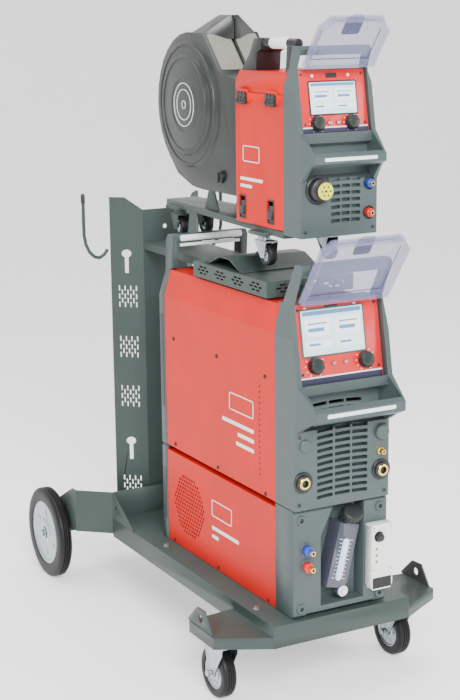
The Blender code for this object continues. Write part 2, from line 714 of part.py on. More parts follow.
def build_lid(hinge, half, length, depth, lean):
    """Clear cover, standing open: a dished plate hinged along X above the panel.

    The cover runs up and forward from the hinge, and its rim points to the front and down.
    """
    hinge = Vector(hinge)
    along = Vector((-math.sin(lean), math.cos(lean)))
    inward = Vector((-math.cos(lean), -math.sin(lean)))

    def at(s, t):
        return tuple(hinge + along * s + inward * t)

    plate = prism("x", [at(0.004, -0.0012), at(length, -0.0012), at(length, depth), at(0.010, depth),
                        at(0.004, 0.004)], -half, half)
    dish = prism("x", [at(0.012, 0.0013), at(length - 0.0025, 0.0013), at(length - 0.0025, depth + 0.01),
                       at(0.012, depth + 0.01)], -half + 0.0025, half - 0.0025)
    corners = []
    for side in (-1.0, 1.0):
        y0, z0 = at(length - 0.030, 0.0)
        y1, z1 = at(length + 0.004, 0.0)
        reach = Vector((0.0, inward.x, inward.y)) * (depth + 0.01)
        outline = [Vector((side * (half + 0.004), y0, z0)), Vector((side * (half + 0.004), y1, z1)),
                   Vector((side * (half - 0.024), y1, z1))]
        bm = bmesh.new()
        near = [bm.verts.new(p - reach) for p in outline]
        far = [bm.verts.new(p + reach) for p in outline]
        bm.faces.new(near)
        bm.faces.new(far)
        for i in range(3):
            j = (i + 1) % 3
            bm.faces.new((near[i], near[j], far[j], far[i]))
        corners.append(piece(bm))
    cover = cut(plate, dish, *corners)
    walls = []
    for side in (-1.0, 1.0):
        a = Vector((side * (half - 0.0013), *at(length - 0.0275, 0.0)))
        b = Vector((side * (half - 0.0245), *at(length - 0.0010, 0.0)))
        inside = (b - a).cross(Vector((0.0, *inward))).normalized() * 0.0013
        reach = Vector((0.0, *inward)) * (depth - 0.0005)
        bm = bmesh.new()
        near = [bm.verts.new(p) for p in (a - inside, a + inside, b + inside, b - inside)]
        far = [bm.verts.new(v.co + reach) for v in near]
        bm.faces.new(near)
        bm.faces.new(far)
        for i in range(4):
            j = (i + 1) % 4
            bm.faces.new((near[i], near[j], far[j], far[i]))
        walls.append(piece(bm))
    knuckle = rod((-half + 0.012, hinge.x, hinge.y), (half - 0.012, hinge.x, hinge.y), 0.0045, 12)
    tab_low, tab_high = length - 0.004, length + 0.006
    tab = prism("x", [at(tab_low, 0.002), at(tab_high, 0.002), at(tab_high, 0.010),
                      at(tab_low, 0.010)], -half * 0.13, half * 0.13)
    return joined(cover, knuckle, tab, *walls)


POWER_LEAN = math.radians(35.0)
FEEDER_LEAN = math.radians(38.0)

# ---------------------------------------------------------------- power source
def build_power_casing():
    """Red power source casing: a folded tube with sloped shoulders, open at both ends."""
    outline = [(-BODY_HALF, POWER_LOW), (BODY_HALF, POWER_LOW), (BODY_HALF, POWER_BEND),
               (POWER_TOP_HALF, POWER_TOP), (-POWER_TOP_HALF, POWER_TOP), (-BODY_HALF, POWER_BEND)]
    shell = prism("y", outline, GAP, BODY_END)
    return cut(shell, prism("y", inset(outline, SKIN), -0.01, BODY_END + 0.01))


def build_power_rear():
    """Rear casting of the power source with its carrying loop."""
    body = build_rear_grille(POWER_LOW, 0.9100, POWER_TOP_HALF, POWER_BEND, 12)
    start = BODY_END + GAP
    post = [(start, 0.860), (start + 0.026, 0.860), (start + 0.018, 0.985), (start + 0.008, 0.9995),
            (start - 0.012, 0.9995), (start - 0.020, 0.990), (start - 0.014, 0.9160), (start, 0.9140)]
    parts = [prism("x", post, x0, x0 + 0.018) for x0 in (-0.106, 0.088)]
    bar = prism("x", [(start + 0.016, 0.985), (start + 0.008, 0.9995), (start - 0.012, 0.9995),
                      (start - 0.020, 0.990), (start - 0.017, 0.979), (start + 0.012, 0.979)],
                -0.092, 0.092)
    return joined(body, bar, *parts)


def build_socket(x, y, z, radius):
    """Round welding-current socket with an open bore."""
    return turned((x, y, z), (x, y - 1.0, z),
                  [(0.0, radius), (0.007, radius), (0.009, radius * 0.9), (0.009, radius * 0.45),
                   (0.0, radius * 0.45)], 20)


def build_fan():
    """Fan rotor: hub with seven pitched blades."""
    y = BODY_END - 0.040
    centre = Vector((0.0, y, 0.690))
    hub = rod((0.0, y - 0.012, 0.690), (0.0, y + 0.012, 0.690), 0.026, 20)
    blades = []
    for k in range(7):
        turn = Matrix.Rotation(2.0 * math.pi * k / 7.0, 3, "Y")
        tilt = Matrix.Rotation(math.radians(35.0), 3, "X")
        bm = bmesh.new()
        verts = []
        for px in (0.020, 0.080):
            for py, pz in ((-0.0012, -0.014), (0.0012, -0.014), (0.0012, 0.014), (-0.0012, 0.014)):
                spot = Vector((px, py, pz * (0.7 + px * 5.0)))
                spot = Vector((spot.x, *(tilt @ Vector((0.0, spot.y, spot.z)))[1:]))
                verts.append(bm.verts.new(centre + turn @ spot))
        for loop in ((0, 1, 2, 3), (4, 5, 6, 7), (0, 1, 5, 4), (1, 2, 6, 5), (2, 3, 7, 6), (3, 0, 4, 7)):
            bm.faces.new([verts[i] for i in loop])
        blades.append(piece(bm))
    return joined(hub, *blades), (0.0, y, 0.690)


def build_inverter():
    """Inverter chassis: base plate, finned heat sink, transformer and fan shroud."""
    low = POWER_LOW + SKIN + 0.0006
    plate = box(-0.110, 0.110, 0.030, 0.490, low, low + 0.004)
    sink = box(-0.095, 0.095, 0.060, 0.330, low + 0.003, 0.600)
    for k in range(6):
        x = -0.080 + 0.027 * k
        sink = cut(sink, box(x, x + 0.014, 0.050, 0.340, 0.530, 0.610))
    board = box(-0.095, 0.095, 0.080, 0.086, 0.595, 0.830)
    coil = box(-0.050, 0.050, 0.120, 0.270, 0.595, 0.720)
    shroud = box(-0.098, 0.098, 0.455, 0.490, low + 0.003, 0.795)
    shroud = cut(shroud, rod((0.0, 0.44, 0.690), (0.0, 0.50, 0.690), 0.086, 32))
    motor = rod((0.0, 0.440, 0.690), (0.0, 0.487, 0.690), 0.020, 16)
    stay = box(-0.006, 0.006, 0.462, 0.470, 0.600, 0.780)
    return joined(plate, sink, board, coil, shroud, motor, stay)


POWER = Front(BODY_HALF + 0.001, 0.0125, -GAP, -0.086, POWER_LOW, (-0.080, 0.745), (-0.049, 0.921),
              0.018, (-0.149, 0.694), (-0.104, 1.0125), 0.886, 1.0)
place("ps_casing", build_power_casing(), "red_paint")
power_front = draw_in(build_front(POWER, 0.024), POWER, 0.009, 0.009, POWER_BEND, POWER_TOP)
place("ps_front", power_front, "casting_grey", (0.0, -0.03, 0.70))
place("ps_rear", build_power_rear(), "casting_grey")
place("ps_panel", build_panel(POWER, 0.1085), "panel_red")
for word, x in (("left", -0.066), ("right", 0.064)):
    knob, start = build_knob(POWER, x, 0.041, 0.0185, 0.0165)
    place("ps_knob_" + word, knob, "grey_plastic", start)
for word, x in (("left", -0.018), ("right", 0.013)):
    button, start = build_button(POWER, x, 0.041)
    place("ps_button_" + word, button, "machine_steel", start)
POWER_HINGE = (-0.074, 0.9275)
place("ps_lid", build_lid(POWER_HINGE, 0.1085, 0.180, 0.0215, POWER_LEAN), "clear_lid",
      (0.0, POWER_HINGE[0], POWER_HINGE[1]))
place("ps_socket_left", build_socket(-0.1030, -0.086 - GAP, 0.529, 0.0185), "black_plastic")
place("ps_socket_right", build_socket(0.1020, -0.086 - GAP, 0.529, 0.0185), "black_plastic")
fan, fan_axis = build_fan()
place("ps_fan", fan, "black_plastic", fan_axis)
place("ps_inverter", build_inverter(), "machine_steel")

# ---------------------------------------------------------------- wire feeder
FEEDER = holder("feeder_swivel", (0.0, PIVOT_Y, BASE_LOW))
SMALL_TOP = BASE_LOW - GAP


def small_fork(x, y, trail):
    """Small caster fork: plate, two cheeks and the axle pin."""
    hub = y + trail
    axle_z = SMALL_WHEEL_LOW + SMALL_WHEEL_R
    front, rear = min(y, hub) - 0.016, max(y, hub) + 0.016
    crown = box(x - 0.0165, x + 0.0165, front, rear, 1.0365, 1.0395)
    cheeks = []
    for x0 in (x - 0.0165, x + 0.0145):
        cheeks.append(prism("x", [(front, 1.0390), (rear, 1.0390), (hub + 0.008, axle_z - 0.007),
                                  (hub - 0.008, axle_z - 0.007)], x0, x0 + 0.002))
    pin = rod((x - 0.0185, hub, axle_z), (x + 0.0185, hub, axle_z), 0.0029, 12)
    return [crown, cheeks[0], cheeks[1], pin]


REAR_CASTER = (0.036, 0.625)
FRONT_CASTER = (0.080, 0.118)
SMALL_TRAIL = -0.019      # the small front wheels trail forwards
REAR_OFFSET = -0.008


def build_feeder_base():
    """Tapered base shell with rigid rear casters and the struts of the spool case."""
    start = FEEDER_FRONT + GAP
    outline = [(-FEEDER_HALF, start), (FEEDER_HALF, start), (0.042, 0.685), (-0.042, 0.685)]
    base = prism("z", outline, BASE_LOW, BASE_TOP)
    base = cut(base, prism("z", inset(outline, 0.003), BASE_LOW - 0.01, BASE_TOP - 0.004),
               rod((0.0, PIVOT_Y, 1.04), (0.0, PIVOT_Y, 1.09), 0.0066, 16))
    parts = []
    for side in (-1.0, 1.0):
        x, y = side * REAR_CASTER[0], REAR_CASTER[1]
        plate = box(x - 0.024, x + 0.024, y - 0.038, y + 0.030, 1.0520, BASE_LOW + 0.0040)
        column = rod((x, y - 0.004, 1.0385), (x, y - 0.004, 1.0525), 0.015, 16)
        parts.append(joined(plate, column, *small_fork(x, y, REAR_OFFSET)))
    struts = box(-0.060, 0.060, 0.415, 0.455, 1.1180, 1.1215)
    for side in (-1.0, 1.0):
        low, high = sorted((side * 0.044, side * 0.041))
        leg = [(0.400, BASE_TOP - 0.001), (0.470, BASE_TOP - 0.001), (0.448, 1.1200), (0.422, 1.1200)]
        struts = joined(struts, prism("x", leg, low, high))
    parts.append(struts)
    y = FRONT_CASTER[1]
    parts.append(box(-0.105, 0.105, y - 0.036, y + 0.028, 1.0520, BASE_LOW + 0.0043))
    return joined(base, *reversed(parts))


def build_front_small_fork(side):
    """Swivelling fork of a small front caster."""
    x, y = side * FRONT_CASTER[0], FRONT_CASTER[1]
    head = rod((x, y, 1.0385), (x, y, 1.0520 - GAP), 0.014, 16)
    parts = small_fork(x, y, SMALL_TRAIL)
    return joined(head, *parts)


def build_feeder_casing():
    """Red feeder casing: folded top, right side, rear wall, floor and middle partition."""
    outline = [(-FEEDER_HALF, FEEDER_LOW), (FEEDER_HALF, FEEDER_LOW), (FEEDER_HALF, 1.388),
               (0.0835, FEEDER_TOP), (-0.0835, FEEDER_TOP), (-FEEDER_HALF, 1.388)]
    shell = prism("y", outline, FEEDER_FRONT, FEEDER_END)
    left = box(-0.12, -0.0020, FEEDER_FRONT + 0.006, FEEDER_END - SKIN, FEEDER_LOW + SKIN, 1.3650)
    right = prism("y", [(0.0010, FEEDER_LOW + SKIN), (FEEDER_HALF - SKIN, FEEDER_LOW + SKIN),
                        (FEEDER_HALF - SKIN, 1.387), (0.0825, FEEDER_TOP - SKIN),
                        (0.0010, FEEDER_TOP - SKIN)], FEEDER_FRONT - 0.01, FEEDER_END - SKIN)
    strip = box(-0.12, -FEEDER_HALF + 0.0028, FEEDER_FRONT - 0.01, FEEDER_END + 0.01,
                FEEDER_LOW - 0.01, 1.3650)
    wire = rod((-0.045, FEEDER_END - 0.01, 1.200), (-0.045, FEEDER_END + 0.01, 1.200), 0.008, 12)
    return cut(shell, left, right, strip, wire)


DOOR_HINGE = (-FEEDER_HALF - 0.0052, 1.3670)
DOOR_OUT = -FEEDER_HALF


def build_door():
    """Side door that lifts about a hinge along its top edge."""
    door = box(DOOR_OUT, DOOR_OUT + 0.0022, FEEDER_FRONT + GAP, FEEDER_END - GAP, FEEDER_LOW + 0.002, 1.3640)
    knuckles = []
    x, z = DOOR_HINGE
    for y in (0.047, 0.174):
        low, high = y - 0.020, y + 0.020
        knuckles.append(rod((x, low, z), (x, high, z), 0.0042, 12))
        knuckles.append(box(DOOR_OUT - 0.0055, DOOR_OUT + 0.0010, low, high, 1.3430, 1.3638))
        knuckles.append(box(DOOR_OUT - 0.0055, DOOR_OUT - 0.0008, low, high, 1.3630, z))
    cutters = []
    for y in LATCH_Y:
        cutters.append(box(DOOR_OUT - 0.01, DOOR_OUT + 0.01, y - 0.012, y + 0.012,
                           LATCH_LOW, LATCH_LOW + 0.048))
    return cut(joined(door, *knuckles), *cutters)


LATCH_Y = (0.061, 0.187)
LATCH_LOW = 1.0840


def build_latch(y):
    """Sliding latch: a thumb piece set in the door's recess."""
    z = LATCH_LOW
    back = box(DOOR_OUT + 0.0005, DOOR_OUT + 0.0020, y - 0.0114, y + 0.0114, z + 0.001, z + 0.038)
    thumb = prism("y", [(DOOR_OUT + 0.0010, z + 0.006), (DOOR_OUT - 0.0040, z + 0.008),
                        (DOOR_OUT - 0.0040, z + 0.024), (DOOR_OUT + 0.0010, z + 0.028)],
                  y - 0.0080, y + 0.0080)
    return joined(back, thumb)


def build_wire_drive():
    """Four-roller wire drive on the partition, with its motor and pressure arms."""
    wall = -0.0020 - GAP
    plate = box(-0.010, wall, 0.050, 0.180, 1.150, 1.270)
    parts = []
    for y in (0.085, 0.145):
        for z in (1.180, 1.216):
            parts.append(rod((-0.0290, y, z), (-0.009, y, z), 0.0155, 18))
        parts.append(box(-0.024, -0.009, y - 0.006, y + 0.006, 1.225, 1.330))
        parts.append(rod((-0.018, y, 1.250), (-0.018, y, 1.320), 0.009, 12))
    parts.append(rod((-0.040, 0.115, 1.110), (-0.009, 0.115, 1.110), 0.030, 20))
    parts.append(box(-0.020, wall, 0.100, 0.130, 1.120, 1.160))
    return joined(plate, *parts)


def spool_outline():
    """Side outline of the spool case: round at the back, flat foot, sloping window at the front."""
    points = []
    for k in range(13):
        angle = math.radians(98.0 - 12.25 * k)
        points.append((SPOOL_Y + SPOOL_R * math.cos(angle), SPOOL_Z + SPOOL_R * math.sin(angle)))
    points += [(0.5510, 1.1500), (0.4780, 1.1262), (0.4450, 1.1225), (0.2220, 1.1225),
               (0.2180, 1.1400), (0.2180, 1.3850), (0.3300, 1.4000), (0.4150, 1.4900)]
    return points


def spool_ridge(side):
    """Half of the roof ridge that carries the spool case's top hinge."""
    points = []
    for x, y, z in ((0.0010, 0.392, 1.475), (0.0010, 0.392, SPOOL_RIDGE), (0.011, 0.392, SPOOL_RIDGE),
                    (0.0010, 0.448, SPOOL_RIDGE), (0.011, 0.448, SPOOL_RIDGE), (0.068, 0.415, 1.489),
                    (0.068, 0.480, 1.489), (0.068, 0.415, 1.475), (0.068, 0.480, 1.475),
                    (0.0010, 0.560, 1.469), (0.030, 0.560, 1.469), (0.0010, 0.560, 1.482),
                    (0.020, 0.560, 1.480)):
        points.append((side * x, y, z))
    return hull(points)


def build_spool_case():
    """Right half of the spool case with its spindle."""
    outer = spool_outline()
    shell = prism("x", outer, 0.0010, SPOOL_HALF)
    shell = cut(shell, prism("x", inset(outer, 0.003), -0.01, SPOOL_HALF - 0.003))
    ring = turned((SPOOL_HALF - 0.001, SPOOL_Y, SPOOL_Z), (1.0, SPOOL_Y, SPOOL_Z),
                  [(0.0, 0.0), (0.0, 0.150), (0.008, 0.142), (0.008, 0.0)], 40)
    start = (-0.045, SPOOL_Y, SPOOL_Z)
    spindle = rod(start, (SPOOL_HALF - 0.001, SPOOL_Y, SPOOL_Z), 0.0160, 16)
    return joined(shell, ring, spindle, spool_ridge(1.0))


def build_spool_lid():
    """Left half of the spool case: stepped disc, side skirt and top hinge ridge."""
    outer = spool_outline()
    low, high = -SPOOL_HALF, -0.0010
    shell = prism("x", outer, low, high)
    shell = cut(shell, prism("x", inset(outer, 0.003), low + 0.003, 0.01))
    steps = turned((low + 0.001, SPOOL_Y, SPOOL_Z), (-1.0, SPOOL_Y, SPOOL_Z),
                   [(0.0, 0.0), (0.0, 0.152), (0.008, 0.146), (0.008, 0.122), (0.016, 0.1175),
                    (0.016, 0.0)], 40)
    return joined(shell, steps, spool_ridge(-1.0))


def build_spool():
    """Wire spool: two flanges, wound wire and a bored hub."""
    bore = 0.0168
    profile = [(0.0, bore), (0.0, 0.146), (0.004, 0.146), (0.004, 0.128), (0.094, 0.128),
               (0.094, 0.146), (0.098, 0.146), (0.098, bore)]
    return turned((-0.046, SPOOL_Y, SPOOL_Z), (1.0, SPOOL_Y, SPOOL_Z), profile, 36)


def build_feeder_handle():
    """Top carrying handle: round bar between a raked front leg and a wide rear bracket."""
    x = -0.066
    foot = FEEDER_TOP + GAP
    bar = rod((x, -0.010, 1.4715), (x, 0.150, 1.4715), 0.0105, 16)
    front = prism("x", [(0.010, foot), (0.032, foot), (0.026, 1.4700), (-0.006, 1.4700)],
                  x - 0.008, x + 0.008)
    rear = prism("x", [(0.150, foot), (0.214, foot), (0.180, 1.4450), (0.158, 1.4800), (0.128, 1.4815),
                       (0.128, 1.4580), (0.146, 1.4500)], x - 0.014, x + 0.048)
    return joined(rear, bar, front)


FEEDER_FACE = -0.068
SMALL_FRONT = Front(FEEDER_HALF + 0.001, 0.0105, FEEDER_FRONT - GAP, FEEDER_FACE, 1.0640,
                    (-0.050, 1.284), (-0.026, 1.4175), 0.012, (-0.104, 1.235), (-0.052, 1.4670),
                    1.380, 0.75)

place("feeder_base", build_feeder_base(), "cart_grey", (0.0, PIVOT_Y, BASE_TOP), FEEDER)
place("feeder_casing", build_feeder_casing(), "red_paint", None, FEEDER)
DOOR = place("feeder_door", build_door(), "red_paint", (DOOR_HINGE[0], 0.10, DOOR_HINGE[1]), FEEDER)
for word, y in (("front", LATCH_Y[0]), ("rear", LATCH_Y[1])):
    place("feeder_latch_" + word, build_latch(y), "black_plastic", None, DOOR)
small_front = draw_in(build_front(SMALL_FRONT, 0.018), SMALL_FRONT, 0.0075, 0.007, 1.388, FEEDER_TOP)
place("feeder_front", small_front, "casting_grey", None, FEEDER)
place("feeder_panel", build_panel(SMALL_FRONT, 0.0835), "panel_red", None, FEEDER)
for word, x in (("left", -0.045), ("right", 0.041)):
    knob, start = build_knob(SMALL_FRONT, x, 0.021, 0.0160, 0.0145)
    place("feeder_knob_" + word, knob, "grey_plastic", start, FEEDER)
for word, x in (("left", -0.014), ("right", 0.008)):
    button, start = build_button(SMALL_FRONT, x, 0.021)
    place("feeder_button_" + word, button, "machine_steel", start, FEEDER)
SMALL_HINGE = (-0.0495, 1.4245)
place("feeder_lid", build_lid(SMALL_HINGE, 0.0835, 0.132, 0.0195, FEEDER_LEAN), "clear_lid",
      (0.0, SMALL_HINGE[0], SMALL_HINGE[1]), FEEDER)
place("feeder_euro_connector", build_coupling(-0.0545, FEEDER_FACE - GAP, 1.1670, 0.0250, 0.030),
      "brass", None, FEEDER)
place("feeder_wire_drive", build_wire_drive(), "machine_steel", None, FEEDER)
place("feeder_handle", build_feeder_handle(), "black_plastic", None, FEEDER)
place("spool_case", build_spool_case(), "dark_grey", (0.0, SPOOL_Y, SPOOL_Z), FEEDER)
place("spool_lid", build_spool_lid(), "dark_grey", (-0.0010, 0.42, SPOOL_RIDGE), FEEDER)
place("wire_spool", build_spool(), "machine_steel", (0.0, SPOOL_Y, SPOOL_Z), FEEDER)

for word, side in (("left", -1.0), ("right", 1.0)):
    x, y = side * FRONT_CASTER[0], FRONT_CASTER[1]
    fork = place("feeder_fork_" + word, build_front_small_fork(side), "zinc", (x, y, 1.045), FEEDER)
    axle_z = SMALL_WHEEL_LOW + SMALL_WHEEL_R
    rear_x = side * REAR_CASTER[0]
    for name, wheel_x, wheel_y, hung in (("front", x, y + SMALL_TRAIL, fork),
                                         ("rear", rear_x, REAR_CASTER[1] + REAR_OFFSET, FEEDER)):
        wheel = build_wheel(side, abs(wheel_x) - 0.0095, abs(wheel_x) + 0.0095, wheel_y, SMALL_WHEEL_R,
                            0.0034, 0.0165, 20)
        wheel.data.transform(Matrix.Translation((0.0, 0.0, SMALL_WHEEL_LOW)))
        place("feeder_" + name + "_wheel_" + word, wheel, "rubber", (wheel_x, wheel_y, axle_z), hung)
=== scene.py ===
import json
import math

import bmesh
import bpy
from mathutils import Matrix, Vector

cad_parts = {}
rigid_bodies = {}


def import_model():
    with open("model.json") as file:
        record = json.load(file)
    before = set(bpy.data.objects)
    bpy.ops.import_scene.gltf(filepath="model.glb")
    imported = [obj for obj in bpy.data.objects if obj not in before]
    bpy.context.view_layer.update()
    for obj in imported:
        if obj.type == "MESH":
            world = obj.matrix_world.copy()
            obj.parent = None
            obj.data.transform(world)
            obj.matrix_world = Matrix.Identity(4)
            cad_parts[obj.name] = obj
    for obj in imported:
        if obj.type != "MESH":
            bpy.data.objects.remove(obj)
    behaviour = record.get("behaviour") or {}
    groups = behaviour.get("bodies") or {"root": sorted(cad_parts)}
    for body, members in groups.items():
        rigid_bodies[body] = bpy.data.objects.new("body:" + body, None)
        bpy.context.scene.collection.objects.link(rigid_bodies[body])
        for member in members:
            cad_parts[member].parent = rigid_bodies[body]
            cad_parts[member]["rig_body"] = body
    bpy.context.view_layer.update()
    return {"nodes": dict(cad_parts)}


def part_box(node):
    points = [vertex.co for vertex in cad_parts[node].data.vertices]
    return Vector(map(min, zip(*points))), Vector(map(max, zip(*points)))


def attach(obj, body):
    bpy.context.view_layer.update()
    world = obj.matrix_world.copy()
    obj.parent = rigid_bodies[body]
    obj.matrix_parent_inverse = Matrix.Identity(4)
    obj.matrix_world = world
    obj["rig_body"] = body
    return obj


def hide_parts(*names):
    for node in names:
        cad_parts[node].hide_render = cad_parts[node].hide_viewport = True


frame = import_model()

NODES = frame["nodes"]
GAP = 0.0004                                   # clearance between neighbouring solids
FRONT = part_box("ps_casing")[0].y - GAP         # Y of the casings' front edge


def spot(x, y, z):
    """Point in the row frame, with y measured from the casings' front edge."""
    return Vector((x, y + FRONT, z))


# ---------------------------------------------------------------- materials
def finish(name, colour, rough=0.5, metal=0.0, vary=0.08, scale=7.0, grain=0.0, grain_scale=900.0, **sockets):
    """Principled material whose colour and roughness drift a little, with an optional fine grain."""
    mat = bpy.data.materials.new(name)
    mat.use_nodes = True
    tree = mat.node_tree
    shader = tree.nodes["Principled BSDF"]
    coords = tree.nodes.new("ShaderNodeTexCoord")
    noise = tree.nodes.new("ShaderNodeTexNoise")
    noise.inputs["Scale"].default_value = scale
    noise.inputs["Detail"].default_value = 5.0
    tree.links.new(coords.outputs["Object"], noise.inputs["Vector"])
    ramp = tree.nodes.new("ShaderNodeValToRGB")
    for k, (place, share) in enumerate(((0.3, 1.0 - vary), (0.7, 1.0 + vary))):
        ramp.color_ramp.elements[k].position = place
        ramp.color_ramp.elements[k].color = (*[min(c * share, 1.0) for c in colour[:3]], 1.0)
    tree.links.new(noise.outputs["Fac"], ramp.inputs["Fac"])
    tree.links.new(ramp.outputs["Color"], shader.inputs["Base Color"])
    spread = tree.nodes.new("ShaderNodeMapRange")
    spread.inputs["To Min"].default_value = max(rough - 0.07, 0.0)
    spread.inputs["To Max"].default_value = min(rough + 0.07, 1.0)
    tree.links.new(noise.outputs["Fac"], spread.inputs["Value"])
    tree.links.new(spread.outputs["Result"], shader.inputs["Roughness"])
    if grain:
        fine = tree.nodes.new("ShaderNodeTexNoise")
        fine.inputs["Scale"].default_value = grain_scale
        bump = tree.nodes.new("ShaderNodeBump")
        bump.inputs["Strength"].default_value = grain
        bump.inputs["Distance"].default_value = 0.0004
        tree.links.new(coords.outputs["Object"], fine.inputs["Vector"])
        tree.links.new(fine.outputs["Fac"], bump.inputs["Height"])
        tree.links.new(bump.outputs["Normal"], shader.inputs["Normal"])
    shader.inputs["Metallic"].default_value = metal
    for key, value in sockets.items():
        shader.inputs[key.replace("_", " ")].default_value = value
    return mat


MATS = {
    "red_paint": finish("red_paint", (0.56, 0.010, 0.004), 0.42, grain=0.25, Specular_IOR_Level=0.16),
    "cart_grey": finish("cart_grey", (0.036, 0.053, 0.048), 0.42, grain=0.35, Specular_IOR_Level=0.3),
    "casting_grey": finish("casting_grey", (0.052, 0.072, 0.073), 0.42, grain=0.3, Specular_IOR_Level=0.4),
    "dark_grey": finish("dark_grey", (0.014, 0.019, 0.016), 0.34, grain=0.3, Specular_IOR_Level=0.45),
    "rubber": finish("rubber", (0.005, 0.005, 0.006), 0.50, grain=0.4, vary=0.2, Specular_IOR_Level=0.3),
    "zinc": finish("zinc", (0.42, 0.47, 0.49), 0.34, 1.0, scale=40.0),
    "black_plastic": finish("black_plastic", (0.010, 0.011, 0.012), 0.38, grain=0.2, vary=0.15),
    "grey_plastic": finish("grey_plastic", (0.014, 0.021, 0.018), 0.30, grain=0.1),
    "panel_red": finish("panel_red", (0.62, 0.010, 0.012), 0.28, vary=0.04, Coat_Weight=0.3),
    "cream_label": finish("cream_label", (0.78, 0.80, 0.73), 0.42, vary=0.03),
    "brass": finish("brass", (0.80, 0.56, 0.15), 0.24, 1.0, scale=60.0),
    "blue_plastic": finish("blue_plastic", (0.015, 0.05, 0.42), 0.30),
    "ring_red": finish("ring_red", (0.60, 0.015, 0.012), 0.30),
    "machine_steel": finish("machine_steel", (0.40, 0.41, 0.43), 0.34, 1.0, scale=30.0),
    "clear_lid": finish("clear_lid", (0.20, 0.21, 0.36), 0.10, vary=0.03, Alpha=0.36, IOR=1.45,
                        Coat_Weight=0.5),
    "lid_edge": finish("lid_edge", (0.045, 0.045, 0.13), 0.18, vary=0.05, Alpha=0.80),
    "white_grip": finish("white_grip", (0.78, 0.80, 0.80), 0.40, grain=0.1, vary=0.03),
    "screen": finish("screen", (0.66, 0.82, 0.86), 0.16, vary=0.10, scale=18.0, Coat_Weight=0.6),
    "screen_mark": finish("screen_mark", (0.10, 0.24, 0.45), 0.22, vary=0.05),
    "screen_pale": finish("screen_pale", (0.86, 0.90, 0.92), 0.22, vary=0.03),
    "shadow": finish("shadow", (0.006, 0.007, 0.007), 0.60, vary=0.2),
    "window": finish("window", (0.20, 0.20, 0.165), 0.08, vary=0.1, Coat_Weight=0.8),
    "sight": finish("sight", (0.45, 0.60, 0.80), 0.15, vary=0.12, scale=50.0, Coat_Weight=0.5),
    "tank_grey": finish("tank_grey", (0.050, 0.052, 0.078), 0.22, vary=0.12, Coat_Weight=0.3),
    "yellow": finish("yellow", (0.62, 0.60, 0.03), 0.30),
    "navy": finish("navy", (0.022, 0.022, 0.060), 0.30),
    "lamp_green": finish("lamp_green", (0.05, 0.45, 0.08), 0.2),
}


# ---------------------------------------------------------------- mesh helpers
class Face:
    """Flat place on the object: an origin, u to the right, v up, and n = u x v outwards."""

    def __init__(self, origin, u, v):
        self.origin = Vector(origin)
        self.u = Vector(u).normalized()
        self.v = Vector(v).normalized()
        self.n = self.u.cross(self.v)

    def at(self, u, v, h=0.0):
        return self.origin + self.u * u + self.v * v + self.n * h


def rect(u0, u1, v0, v1, r=0.0, steps=4):
    """Rounded rectangle, anticlockwise."""
    if r <= 0.0:
        return [(u0, v0), (u1, v0), (u1, v1), (u0, v1)]
    points = []
    for cu, cv, start in ((u1 - r, v0 + r, -90), (u1 - r, v1 - r, 0), (u0 + r, v1 - r, 90), (u0 + r, v0 + r, 180)):
        for k in range(steps + 1):
            a = math.radians(start + 90.0 * k / steps)
            points.append((cu + r * math.cos(a), cv + r * math.sin(a)))
    return points


def slot(u, v, wide, tall, steps=3):
    """Slot with round ends around a middle point."""
    r = min(wide, tall) / 2.0 * 0.98
    return rect(u - wide / 2, u + wide / 2, v - tall / 2, v + tall / 2, r, steps)


def circle(u, v, r, sides=20):
    """Regular outline around a middle point."""
    turns = [2.0 * math.pi * k / sides for k in range(sides)]
    return [(u + r * math.cos(a), v + r * math.sin(a)) for a in turns]


def hoop(outer, inner, face, low, high):
    """Four rings that loft into a flat frame between two outlines."""
    return [[face.at(u, v, h) for u, v in line] for line, h in
            ((outer, low), (outer, high), (inner, high), (inner, low))]


def shrunk(outline, depth):
    """Anticlockwise outline moved inwards by depth."""
    result = []
    count = len(outline)
    for k in range(count):
        a, b, c = (Vector(outline[(k + j) % count]) for j in (-1, 0, 1))
        p, q = (b - a), (c - b)
        if p.length < 1e-7 or q.length < 1e-7:
            result.append(tuple(b))
            continue
        n1 = Vector((-p.y, p.x)).normalized()
        n2 = Vector((-q.y, q.x)).normalized()
        mid = (n1 + n2)
        mid = mid / max(mid.length_squared / 2.0, 0.3)
        result.append(tuple(b + mid * depth))
    return result


